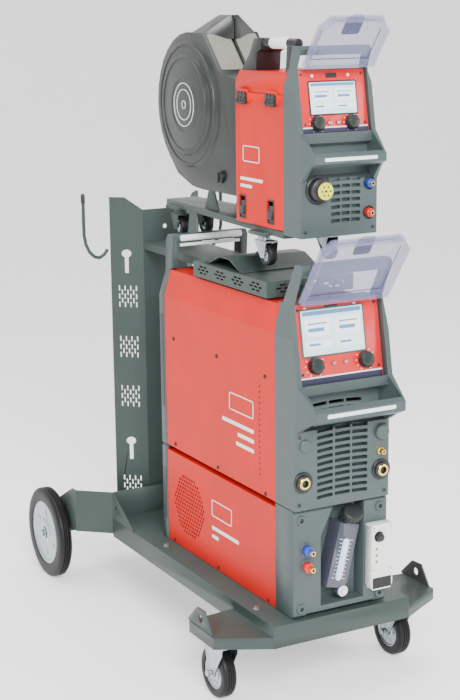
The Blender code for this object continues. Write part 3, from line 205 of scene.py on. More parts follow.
class Shape:
    """Mesh that solids are added to, until done() turns it into a named piece."""

    def __init__(self):
        self.bm = bmesh.new()

    def loft(self, rings, closed=False):
        """Skin over rings of equal length, with both ends capped unless the rings close up."""
        rows = [[self.bm.verts.new(p) for p in ring] for ring in rings]
        pairs = list(zip(rows, rows[1:] + rows[:1])) if closed else list(zip(rows, rows[1:]))
        for low, high in pairs:
            for k in range(len(low)):
                j = (k + 1) % len(low)
                self.bm.faces.new((low[k], low[j], high[j], high[k]))
        if not closed:
            self.bm.faces.new(list(reversed(rows[0])))
            self.bm.faces.new(rows[-1])
        return self

    def plate(self, face, outline, low, high, chamfer=0.0):
        """Outline raised from low to high over a face, with a chamfer round its top."""
        rings = [[face.at(u, v, low) for u, v in outline]]
        if chamfer:
            rings.append([face.at(u, v, high - chamfer) for u, v in outline])
            outline = shrunk(outline, chamfer)
        rings.append([face.at(u, v, high) for u, v in outline])
        return self.loft(rings)

    def rings(self, start, axis, profile, sides):
        """Rings around an axis, one for each (distance along it, radius)."""
        axis = Vector(axis).normalized()
        side = axis.orthogonal().normalized()
        other = axis.cross(side)
        turns = [2.0 * math.pi * k / sides for k in range(sides)]
        return [[Vector(start) + axis * along + (side * math.cos(a) + other * math.sin(a)) * radius for a in turns]
                for along, radius in profile]

    def turned(self, start, axis, profile, sides=32):
        """Capped solid of revolution."""
        return self.loft(self.rings(start, axis, profile, sides))

    def lathe(self, start, axis, profile, sides=32):
        """Ring-shaped solid: a closed profile turned around an axis."""
        return self.loft(self.rings(start, axis, profile, sides), closed=True)

    def rod(self, a, b, radius, sides=16):
        """Round bar with slightly chamfered ends."""
        a, b = Vector(a), Vector(b)
        long = (b - a).length
        c = radius * 0.12
        return self.turned(a, b - a, [(0, radius - c), (c, radius), (long - c, radius), (long, radius - c)], sides)

    def screw(self, face, u, v, r=0.0036, low=0.0, high=0.0022):
        """Domed screw head with a round recess."""
        return self.turned(face.at(u, v, low), face.n,
                           [(0, r), (high * 0.55, r), (high * 0.9, r * 0.8), (high, r * 0.55),
                            (high * 0.6, r * 0.42)], 14)

    def shade(self):
        """Point the faces outwards, and smooth every edge that isn't a corner."""
        bmesh.ops.recalc_face_normals(self.bm, faces=self.bm.faces[:])
        for edge in self.bm.edges:
            if len(edge.link_faces) == 2:
                edge.smooth = edge.calc_face_angle(0.0) < math.radians(34.0)
        for face in self.bm.faces:
            face.smooth = True

    def raw(self, name):
        """Object with no material, also used as a cutter."""
        self.shade()
        mesh = bpy.data.meshes.new(name)
        self.bm.to_mesh(mesh)
        self.bm.free()
        item = bpy.data.objects.new(name, mesh)
        bpy.context.scene.collection.objects.link(item)
        return item

    def done(self, name, material, body, slot_name=None):
        """Named piece that rides on a body and takes its finish from MATS[material]; slot_name is not used."""
        item = self.raw(name)
        item.data.materials.append(MATS[material])
        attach(item, body)
        return item


def soften(item, width, segments=2):
    """Weld split corners and round the edges a little."""
    weld = item.modifiers.new("weld", "WELD")
    weld.merge_threshold = 0.00002
    bevel = item.modifiers.new("round", "BEVEL")
    bevel.width = width
    bevel.segments = segments
    bevel.limit_method = "ANGLE"
    bevel.angle_limit = math.radians(32.0)
    bevel.harden_normals = True
    return item


def dress(mesh, node):
    """Give a mesh the one material that its CAD node has."""
    mesh.materials.clear()
    mesh.materials.append(MATS[material_of(node)])
    for polygon in mesh.polygons:
        polygon.material_index = 0


def carved(node, cutter, width):
    """Show a copy of a CAD node, its edges rounded, with the cutter taken out of it."""
    source = NODES[node]
    item = bpy.data.objects.new(node + "_cut", source.data.copy())
    bpy.context.scene.collection.objects.link(item)
    soften(item, width)
    cut = item.modifiers.new("cut", "BOOLEAN")
    cut.operation = "DIFFERENCE"
    cut.solver = "EXACT"
    cut.object = cutter
    graph = bpy.context.evaluated_depsgraph_get()
    mesh = bpy.data.meshes.new_from_object(item.evaluated_get(graph))
    item.modifiers.clear()
    item.data = mesh
    bpy.data.objects.remove(cutter)
    dress(mesh, node)
    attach(item, source["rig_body"])
    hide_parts(node)
    return item


RED = ("cooler_casing", "ps_casing", "feeder_casing", "feeder_door")
CART = ("base_tray", "rear_frame", "mast", "cable_hook_left", "cable_hook_right", "support_tray",
        "swivel_bridge", "feeder_base")
CASTINGS = ("cooler_front", "cooler_rear", "ps_front", "ps_rear", "feeder_front")
ZINC = ("caster_fork_left", "caster_fork_right", "feeder_fork_left", "feeder_fork_right")
BLACK = ("cooler_filler_cap", "cooler_switch", "ps_socket_left", "ps_socket_right", "ps_fan",
         "feeder_latch_front", "feeder_latch_rear", "feeder_euro_connector", "feeder_handle")


def material_of(node):
    """Name of a CAD node's material in MATS."""
    for group, name in ((RED, "red_paint"), (CART, "cart_grey"), (CASTINGS, "casting_grey"), (ZINC, "zinc"),
                        (BLACK, "black_plastic")):
        if node in group:
            return name
    if "wheel" in node:
        return "rubber"
    if node in ("ps_panel", "feeder_panel"):
        return "panel_red"
    if node in ("ps_lid", "feeder_lid"):
        return "clear_lid"
    if "knob" in node:
        return "grey_plastic"
    if node in ("spool_case", "spool_lid"):
        return "dark_grey"
    return {"cooler_panel": "cream_label", "cooler_tank": "tank_grey", "cooler_coupling_blue": "blue_plastic",
            "cooler_coupling_red": "ring_red"}.get(node, "machine_steel")


def width_of(node):
    """How far a CAD node's edges are rounded."""
    if node in CASTINGS:
        return 0.0022
    if node in ("spool_case", "spool_lid", "feeder_handle", "cooler_tank"):
        return 0.0015
    if node in RED or node in CART:
        return 0.0007
    return 0.0004


# ---------------------------------------------------------------- places on the object
def tilted(foot, head, skin):
    """Face of a control panel, from its lower edge upwards."""
    a, b = spot(0.0, *foot), spot(0.0, *head)
    up = (b - a).normalized()
    face = Face(a, (1, 0, 0), up)
    face.origin = face.at(0.0, 0.0, skin)
    return face


PS_PANEL = tilted((-0.080, 0.745), (-0.049, 0.921), 0.0035)
SM_PANEL = tilted((-0.050, 1.284), (-0.026, 1.4175), 0.0035)
LEFT = Face(spot(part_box("ps_casing")[0].x, 0.0, 0.0), (0, -1, 0), (0, 0, 1))
RIGHT = Face(spot(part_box("ps_casing")[1].x, 0.0, 0.0), (0, 1, 0), (0, 0, 1))
DOOR = Face(spot(-0.0955, 0.0, 0.0), (0, -1, 0), (0, 0, 1))
PS_FACE = Face(spot(0.0, -0.086, 0.0), (1, 0, 0), (0, 0, 1))
COOL_FACE = Face(spot(0.0, -0.080, 0.0), (1, 0, 0), (0, 0, 1))
PLATE_FACE = Face(spot(0.0, -0.106, 0.0), (1, 0, 0), (0, 0, 1))
SM_FACE = Face(spot(0.0, -0.068, 0.0), (1, 0, 0), (0, 0, 1))


COUPLINGS = (("blue", 0.0765, 1.174), ("red", 0.0755, 1.110))     # on the feeder's front
COOLER_COUPLING_Z = (0.3695, 0.3305)
COOLER_BOLTS = [(u, v) for u in (-0.104, 0.104) for v in (0.232, 0.440)]
LAMP_Z = (0.3180, 0.3330, 0.3480)
SOCKET_X = (-0.1030, 0.1020)
SOCKET_Z = 0.529
FAN_Y, FAN_Z, FAN_R = 0.428, 0.3285, 0.080
VENT_Y = 0.0695


# ---------------------------------------------------------------- nodes with more cut out of them
def cut_mast():
    """Four clusters of upright slots in each wing, and two holes in the middle plate."""
    shape = Shape()
    for side in (-1.0, 1.0):
        inner, outer = spot(side * 0.064, 0.7835, 0.0), spot(side * 0.132, 0.844, 0.0)
        along = (outer - inner) if side > 0 else (inner - outer)
        start = inner if side > 0 else outer
        face = Face(start, along, (0, 0, 1))
        middle = along.length * (0.507 if side > 0 else 0.493)
        for z in (0.800, 0.663, 0.527, 0.275):
            for k in range(7):
                u = middle + (k - 3) * 0.0078
                shift = 0.011 if k % 2 else 0.0
                for v in ((-0.011, 0.011) if k % 2 else (-0.022, 0.0, 0.022)):
                    shape.plate(face, slot(u, z + v, 0.0042, 0.0150), -0.012, 0.012)
    middle = Face(spot(0.0, 0.7835, 0.0), (1, 0, 0), (0, 0, 1))
    for z in (0.985, 0.300):
        shape.plate(middle, circle(0.0, z, 0.006), -0.012, 0.012)
    return carved("mast", shape.raw("mast_cutter"), 0.0006)


def cut_support_tray():
    """Clusters of slots in the tray's sides and front."""
    shape = Shape()
    low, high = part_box("support_tray")
    z = (low.z + high.z) / 2.0 + 0.001
    left = Face((low.x, 0.0, 0.0), (0, -1, 0), (0, 0, 1))
    front = Face((0.0, low.y, 0.0), (1, 0, 0), (0, 0, 1))

    def cluster(face, u):
        """Seven slots in three rows."""
        for row, columns in ((0.0075, (-0.5, 0.5)), (0.0, (-1, 0, 1)), (-0.0075, (-0.5, 0.5))):
            for c in columns:
                shape.plate(face, slot(u + c * 0.020, z + row, 0.0150, 0.0042), -0.006, 0.006)

    right = Face((high.x, 0.0, 0.0), (0, 1, 0), (0, 0, 1))
    for k in range(4):
        y = low.y + 0.050 + 0.084 * k
        cluster(left, -y)
        cluster(right, y)
    for u in (-0.062, 0.0, 0.062):
        cluster(front, u)
    return carved("support_tray", shape.raw("tray_cutter"), 0.0007)


def cut_cooler_casing():
    """Honeycomb of round holes over the cooler's fan, in the left side."""
    shape = Shape()
    pitch = 0.0118
    rows = int(0.083 / (pitch * 0.866)) + 1
    for row in range(-rows, rows + 1):
        for column in range(-8, 9):
            u = column * pitch + (pitch / 2.0 if row % 2 else 0.0)
            v = row * pitch * 0.866
            if math.hypot(u, v) < FAN_R:
                shape.plate(LEFT, circle(u - FAN_Y, v + FAN_Z, 0.0042, 8), -0.006, 0.004)
    return carved("cooler_casing", shape.raw("fan_cutter"), 0.0007)


def cut_ps_casing():
    """Upright row of vent holes near the front of each side."""
    shape = Shape()
    for k in range(17):
        for face, u in ((LEFT, -VENT_Y), (RIGHT, VENT_Y)):
            shape.plate(face, circle(u, 0.510 + 0.0129 * k, 0.0029, 10), -0.006, 0.004)
    return carved("ps_casing", shape.raw("vent_cutter"), 0.0012)


def louvres(face, columns, rows, low, pitch, tall, depth, curve):
    """Rows of rounded slots whose ends droop a little."""
    shape = Shape()
    for row in range(rows):
        v = low + pitch * row
        for u0, u1 in columns:
            outline = []
            for k in range(9):
                u = u0 + (u1 - u0) * k / 8.0
                outline.append((u, v - tall / 2 - curve * (u / 0.066) ** 2))
            for k in range(8, -1, -1):
                u = u0 + (u1 - u0) * k / 8.0
                outline.append((u, v + tall / 2 - curve * (u / 0.066) ** 2))
            shape.plate(face, outline, -depth, 0.004)
    return shape


def cut_fronts():
    """Louvres of the two upper front castings, and the feeder's coupling cups."""
    columns = ((-0.066, -0.025), (-0.020, 0.020), (0.025, 0.066))
    shape = louvres(PS_FACE, columns, 11, 0.491, 0.0152, 0.0080, 0.012, 0.003)
    deep = Face(spot(0.0, -0.060, 0.0), (1, 0, 0), (0, 0, 1))
    upper = louvres(deep, columns, 3, 0.664, 0.0152, 0.0080, 0.010, 0.003)
    scrap = bpy.data.meshes.new("scrap")
    upper.bm.to_mesh(scrap)
    shape.bm.from_mesh(scrap)
    carved("ps_front", shape.raw("ps_louvres"), 0.0022)
    shape = louvres(Face(SM_FACE.at(0.016, 0.0), (1, 0, 0), (0, 0, 1)),
                    ((-0.037, -0.014), (-0.011, 0.011), (0.014, 0.037)), 8, 1.098, 0.0148, 0.0074, 0.010, 0.0035)
    for _, u, v in COUPLINGS:
        shape.plate(SM_FACE, circle(u, v, 0.0150, 24), -0.007, 0.004)
    carved("feeder_front", shape.raw("feeder_louvres"), 0.0018)


cut_mast()
cut_support_tray()
cut_cooler_casing()
cut_ps_casing()
cut_fronts()


# ---------------------------------------------------------------- wheels
def wheel(node, rim_share, hub_share, bore, sides, spokes):
    """Tyre with grooved tread, and a pressed steel disc with a hub, in place of a plain wheel."""
    low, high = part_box(node)
    body = NODES[node]["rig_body"]
    radius = (high.z - low.z) / 2.0
    wide = high.x - low.x
    middle = (low + high) / 2.0
    start = middle - Vector((wide / 2.0, 0.0, 0.0))
    rim = radius * rim_share
    tread = []
    grooves = 3 if radius > 0.05 else 1
    for g in range(grooves):
        c = wide * (0.5 + (g - (grooves - 1) / 2.0) * 0.17)
        d = wide * 0.022
        tread += [(c - 2 * d, radius), (c - d, radius * 0.975), (c + d, radius * 0.975), (c + 2 * d, radius)]
    profile = ([(wide * 0.02, rim), (0.0, rim * 1.03), (0.0, radius * 0.90), (wide * 0.05, radius * 0.955),
                (wide * 0.16, radius * 0.992)] + tread
               + [(wide * 0.84, radius * 0.992), (wide * 0.95, radius * 0.955), (wide, radius * 0.90),
                  (wide, rim * 1.03), (wide * 0.98, rim)])
    tyre = Shape()
    tyre.lathe(start, (1, 0, 0), profile, sides)
    tyre = tyre.done(node + "_tyre", "rubber", body)
    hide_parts(node)
    hub = radius * hub_share
    disc = Shape()
    outline = [(0.06, rim * 0.998), (0.05, rim * 0.93), (0.16, rim * 0.87), (0.22, rim * 0.62), (0.16, rim * 0.50),
               (0.10, hub * 1.15), (0.02, hub), (0.02, bore * 1.6), (0.05, bore)]
    half = [(wide * a, r) for a, r in outline]
    disc.lathe(start, (1, 0, 0), half + [(wide - a, r) for a, r in reversed(half)], sides)
    for side in (-1.0, 1.0):
        face = Face(middle + Vector((side * wide * 0.29, 0.0, 0.0)), (0, -side, 0), (0, 0, 1))
        for k in range(spokes):
            a = 2.0 * math.pi * (k + 0.5) / spokes
            ribs = Face(face.origin, face.u * math.cos(a) + face.v * math.sin(a),
                        face.v * math.cos(a) - face.u * math.sin(a))
            disc.plate(ribs, rect(rim * 0.42, rim * 0.90, -radius * 0.030, radius * 0.030, radius * 0.02),
                       -wide * 0.04, wide * 0.075, wide * 0.02)
            a = 2.0 * math.pi * k / spokes
            disc.turned(face.at(rim * 0.72 * math.cos(a), rim * 0.72 * math.sin(a)), face.n,
                        [(0, radius * 0.045), (wide * 0.045, radius * 0.042), (wide * 0.06, radius * 0.03)], 12)
    disc.done(node + "_disc", "zinc", body)


for side in ("left", "right"):
    wheel("rear_wheel_" + side, 0.70, 0.26, 0.0101, 64, 6)
    wheel("caster_wheel_" + side, 0.66, 0.30, 0.0063, 48, 5)
    wheel("feeder_front_wheel_" + side, 0.62, 0.34, 0.0045, 32, 4)
    wheel("feeder_rear_wheel_" + side, 0.62, 0.34, 0.0045, 32, 4)


# ---------------------------------------------------------------- cart details
def cart_details():
    """Axle nuts, hold-down bolts, caster nuts and the hooks' tips."""
    shape = Shape()
    for side in (-1.0, 1.0):
        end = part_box("rear_wheel_right")[1].x * side
        centre = Vector((end, 0.980 + FRONT, 0.125))
        out = Vector((side, 0, 0))
        shape.turned(centre + out * 0.0006, out, [(0, 0.0175), (0.0015, 0.0175), (0.002, 0.0155)], 24)
        shape.turned(centre + out * 0.0026, out, [(0, 0.0105), (0.0055, 0.0105), (0.0065, 0.009)], 6)
    top = Face(spot(0.0, 0.0, 0.209), (1, 0, 0), (0, 1, 0))
    for u, v in ((-0.153, 0.499), (-0.161, 0.021), (0.153, 0.499), (0.161, 0.021)):
        shape.plate(top, circle(u, v, 0.0085, 20), 0.0, 0.0016, 0.0004)
        shape.plate(top, circle(u, v, 0.0062, 6), 0.0016, 0.0066, 0.0008)
    shape.done("cart_bolts", "zinc", "cart")
    for word in ("left", "right"):
        low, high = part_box("caster_fork_" + word)
        nuts = Shape()
        for x, way in ((low.x, -1.0), (high.x, 1.0)):
            start = Vector((x - way * 0.002, 0.060 + FRONT, 0.061))
            nuts.turned(start, (way, 0, 0), [(0, 0.0088), (0.0045, 0.0088), (0.0055, 0.0075)], 6)
        nuts.done("caster_nuts_" + word, "zinc", "caster_fork_" + word)
    tips = Shape()
    for side in (-1.0, 1.0):
        tips.turned(spot(side * 0.2040, 0.8505, 1.052), (0, 0, 1),
                    [(0, 0.0056), (0.019, 0.0058), (0.0235, 0.0045), (0.025, 0.002)], 14)
    tips.done("hook_tips", "black_plastic", "cart")


cart_details()


# ---------------------------------------------------------------- front panels
def panel_details(word, face, body, half, long, knob_u, knob_v, knob_r, screen, s):
    """Display, label strip, dial marks and screws of a control panel; s scales the small parts."""
    u0, u1, v0, v1 = screen
    middle = (u0 + u1) / 2.0
    bezel = Shape()
    bezel.plate(face, rect(u0 - 0.004 * s, u1 + 0.004 * s, v0 - 0.004 * s, v1 + 0.004 * s, 0.005 * s),
                0.0002, 0.0012, 0.0004)
    bezel.done(word + "_bezel", "casting_grey" if s > 0.9 else "black_plastic", body, "dark_grey")
    glass = Shape()
    glass.plate(face, rect(u0, u1, v0, v1, 0.002 * s), 0.0010, 0.0017, 0.0002)
    glass.done(word + "_screen", "screen", body, "cream_label")
    marks, pale = Shape(), Shape()
    w, h = u1 - u0, v1 - v0
    for a, b, c, d, target in ((0.03, 0.97, 0.88, 0.97, marks), (0.05, 0.46, 0.42, 0.80, pale),
                               (0.54, 0.95, 0.42, 0.80, pale), (0.05, 0.46, 0.16, 0.32, pale),
                               (0.54, 0.95, 0.16, 0.32, pale), (0.10, 0.36, 0.52, 0.60, marks),
                               (0.60, 0.86, 0.52, 0.60, marks), (0.10, 0.28, 0.21, 0.26, marks),
                               (0.60, 0.78, 0.21, 0.26, marks), (0.10, 0.41, 0.68, 0.71, marks),
                               (0.60, 0.90, 0.68, 0.71, marks)):
        top = 0.0021 if target is pale else 0.0024
        target.plate(face, rect(u0 + w * a, u0 + w * b, v0 + h * c, v0 + h * d, 0.0006), 0.0014, top)
    pale.done(word + "_screen_cards", "screen_pale", body, "cream_label")
    marks.done(word + "_screen_bars", "screen_mark", body, "blue_plastic")
    strip = Shape()
    strip.plate(face, rect(-half, half, 0.0135 * s, 0.0165 * s, 0.0008), 0.0001, 0.0008)
    for u in knob_u:
        for k in range(11):
            a = math.radians(-60.0 + 30.0 * k)
            out = face.u * math.cos(a) + face.v * math.sin(a)
            dial = Face(face.at(u, knob_v) + out * knob_r * 1.28, out, face.n.cross(out))
            strip.plate(dial, rect(-0.0022 * s, 0.0022 * s, -0.0007 * s, 0.0007 * s), 0.0001, 0.0007)
    strip.done(word + "_label_strip", "cream_label", body)
    band = Shape()
    band.plate(face, rect(-half, half, 0.0022, 0.0130 * s, 0.0010), 0.0001, 0.0007)
    band.done(word + "_panel_band", "navy", body, "blue_plastic")
    block, dots = Shape(), Shape()
    block.plate(face, rect(middle - 0.017 * s, middle + 0.017 * s, long - 0.0190, long - 0.0090, 0.002), 0.0001,
                0.0010, 0.0003)
    block.done(word + "_panel_block", "grey_plastic", body)
    for u in (u0 + 0.0125 * s, u1 - 0.0185 * s):
        dots.plate(face, circle(u, long - 0.0140, 0.0042 * s, 18), 0.0001, 0.0008, 0.0003)
    dots.done(word + "_panel_dots", "cream_label", body)
    screws = Shape()
    for u in (-half + 0.008 * s, half - 0.008 * s):
        for v in (long - 0.014 * s, 0.024 * s):
            screws.screw(face, u, v, 0.0034 * s, 0.0, 0.0009)
    screws.done(word + "_panel_screws", "black_plastic", body)


panel_details("ps", PS_PANEL, "cart", 0.1065, 0.1787, (-0.066, 0.064), 0.041, 0.0185,
              (-0.092, 0.066, 0.063, 0.162), 1.0)
panel_details("feeder", SM_PANEL, "feeder", 0.0815, 0.1356, (-0.045, 0.041), 0.021, 0.0150,
              (-0.0575, 0.0575, 0.0405, 0.1075), 0.8)


def knob_details(node, face):
    """Grip ribs and a bright cap ring on a control knob."""
    low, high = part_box(node)
    radius = (high.x - low.x) / 2.0
    centre = (low + high) / 2.0 - face.origin
    u, v = centre.dot(face.u), centre.dot(face.v)
    height = 2.0 * (centre.dot(face.n) - GAP)
    shape = Shape()
    for k in range(20):
        a = 2.0 * math.pi * k / 20.0
        c, d = math.cos(a), math.sin(a)
        spoke = Face(face.at(u + c * radius * 0.955, v + d * radius * 0.955), face.u * c + face.v * d, face.n)
        shape.plate(spoke, rect(-0.0006, 0.0008, 0.0045, height - 0.0035, 0.0), -0.0007, 0.0007)
    shape.done(node + "_ribs", "black_plastic", node)
    cap = Shape()
    cap.lathe(face.at(u, v, GAP + height), face.n, [(0.0, radius * 0.60), (0.0005, radius * 0.60),
                                                    (0.0005, radius * 0.50), (0.0, radius * 0.50)], 32)
    cap.done(node + "_ring", "machine_steel", node)


for word, face in (("ps", PS_PANEL), ("feeder", SM_PANEL)):
    for side in ("left", "right"):
        knob_details(word + "_knob_" + side, face)


# ---------------------------------------------------------------- clear lids
def lid_details(word, hinge, lean, half, long):
    """Finger tab and border lines of a clear cover."""
    a = math.radians(lean)
    face = Face(spot(0.0, *hinge), (1, 0, 0), (0.0, -math.sin(a), math.cos(a)))
    tab = Shape()
    tab.plate(face, rect(-0.0215, 0.0215, long - 0.047, long - 0.0015, 0.006), 0.0014, 0.0026, 0.0004)
    tab.done(word + "_lid_tab", "lid_edge", word + "_lid", "clear_lid")
    line = Shape()
    t = 0.0016
    for u0, u1, v0, v1 in ((-half + 0.010, half - 0.010, 0.020, 0.020 + t),
                           (-half + 0.010, -half + 0.010 + t, 0.020, long - 0.034),
                           (half - 0.010 - t, half - 0.010, 0.020, long - 0.034),
                           (-half + 0.034, -0.024, long - 0.010 - t, long - 0.010),
                           (0.024, half - 0.034, long - 0.010 - t, long - 0.010)):
        line.plate(face, rect(u0, u1, v0, v1), 0.0014, 0.0022)
    line.done(word + "_lid_lines", "lid_edge", word + "_lid", "clear_lid")


lid_details("ps", (-0.074, 0.9275), 35.0, 0.1085, 0.180)
lid_details("feeder", (-0.0495, 1.4245), 38.0, 0.0835, 0.132)


# ---------------------------------------------------------------- grips
def grips():
    """White inlays and sleeves of the carrying bars."""
    shape = Shape()
    bar = Face(spot(0.0, -0.149 - 0.0144, 0.0), (1, 0, 0), (0, 0, 1))
    shape.plate(bar, rect(-0.088, 0.088, 0.6890, 0.6980, 0.003), -0.001, 0.0010, 0.0004)
    shape.rod(spot(-0.096, -0.0700, 0.9935), spot(0.096, -0.0700, 0.9935), 0.0065, 16)
    shape.rod(spot(-0.084, 0.5225, 0.9915), spot(0.084, 0.5225, 0.9915), 0.0078, 16)
    shape.rod(spot(-0.084, 0.5300, 0.9735), spot(0.084, 0.5300, 0.9735), 0.0042, 12)
    shape.done("ps_white_grips", "white_grip", "cart", "cream_label")
    shape = Shape()
    shape.rod(spot(-0.072, -0.0265, 1.4530), spot(0.072, -0.0265, 1.4530), 0.0050, 16)
    shape.lathe(spot(-0.066, 0.026, 1.4715), (0, 1, 0), [(0.0, 0.0107), (0.0, 0.0122), (0.003, 0.0130),
                                                        (0.068, 0.0130), (0.071, 0.0122), (0.071, 0.0107)], 20)
    bar = Face((0.0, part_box("feeder_front")[0].y, 0.0), (1, 0, 0), (0, 0, 1))
    shape.plate(bar, rect(-0.066, 0.066, 1.2305, 1.2380, 0.003), -0.001, 0.0009, 0.0003)
    shape.done("feeder_white_grips", "white_grip", "feeder", "cream_label")


grips()


# ---------------------------------------------------------------- power source details
def ps_details():
    """Screws, sockets, connector, caps, near-black sheets of painted shade behind the vent holes, and edge grips of
    the lower two units.
    """
    screws = Shape()
    for y, z in ((0.498, 0.746), (0.272, 0.746), (0.044, 0.744), (0.497, 0.475), (0.272, 0.473), (0.044, 0.4705)):
        screws.screw(LEFT, -y, z, 0.0050)
        screws.screw(RIGHT, y, z, 0.0050)
    for y in (0.510, 0.275, 0.033):
        screws.screw(LEFT, -y, 0.2185, 0.0040)
        screws.screw(RIGHT, y, 0.2185, 0.0040)
    screws.done("casing_screws", "shadow", "cart", "black_plastic")
    black = Shape()
    for u in (-0.112, 0.112):
        black.screw(PS_FACE, u, 0.478, 0.0042)
        black.screw(PS_FACE, u * 0.99, 0.632, 0.0038)
    for u, v in COOLER_BOLTS:
        black.screw(COOL_FACE, u, v, 0.0048)
    black.done("front_screws", "black_plastic", "cart")
    brass = Shape()
    for u in SOCKET_X:
        brass.lathe(PS_FACE.at(u, SOCKET_Z, 0.0094), PS_FACE.n, [(0.0, 0.0086), (0.0, 0.0135), (0.0016, 0.0135),
                                                                 (0.0026, 0.0122), (0.0026, 0.0086)], 32)
    start = PS_FACE.at(0.0986, 0.573)
    brass.turned(start, PS_FACE.n, [(0, 0.0095), (0.006, 0.0095), (0.007, 0.0085)], 6)
    brass.lathe(start, PS_FACE.n, [(0.006, 0.0035), (0.006, 0.0066), (0.016, 0.0066), (0.018, 0.0056),
                                   (0.018, 0.0035)], 24)
    brass.done("ps_brass", "brass", "cart")
    dark = Shape()
    for u in SOCKET_X:
        dark.lathe(PS_FACE.at(u, SOCKET_Z), PS_FACE.n, [(0.0, 0.0190), (0.0, 0.0240), (0.003, 0.0240),
                                                        (0.0045, 0.0225), (0.0045, 0.0190)], 32)
    dark.turned(PS_FACE.at(-0.1130, 0.549, -0.001), PS_FACE.n, [(0, 0.0045), (0.0016, 0.0045), (0.0020, 0.0040)], 8)
    dark.done("ps_dark_fittings", "black_plastic", "cart")
    caps = Shape()
    caps.turned(PS_FACE.at(0.1020, 0.617, -0.001), PS_FACE.n, [(0, 0.0180), (0.009, 0.0175), (0.0115, 0.0150)], 32)
    caps.turned(PS_FACE.at(-0.0960, 0.611, -0.001), PS_FACE.n, [(0, 0.0150), (0.0040, 0.0145), (0.0055, 0.0125)], 32)
    caps.done("ps_round_caps", "casting_grey", "cart")
    # Near-black sheets just inside the side walls, behind the fan's honeycomb and the vent rows: painted shade for
    # the dark inside of the casing.
    shade_sheet = Shape()
    shade_sheet.plate(LEFT, circle(-FAN_Y, FAN_Z, FAN_R + 0.006, 40), -0.0042, -0.0024)
    for face, u in ((LEFT, -VENT_Y), (RIGHT, VENT_Y)):
        shade_sheet.plate(face, rect(u - 0.0040, u + 0.0040, 0.503, 0.723, 0.003), -0.0040, -0.0024)
    shade_sheet.done("painted_vent_shade", "shadow", "cart", "black_plastic")
    edge = Shape()
    for side in (-1.0, 1.0):
        x = side * 0.1235
        face = Face(spot(x, 0.560, 0.0), (0, -side, 0), (0, 0, 1))
        for low, high in ((0.560, 0.800), (0.262, 0.400)):
            edge.plate(face, rect(-0.007, 0.007, low, high, 0.003), -0.001, 0.0030, 0.001)
    edge.done("rear_edge_grips", "black_plastic", "cart")


ps_details()


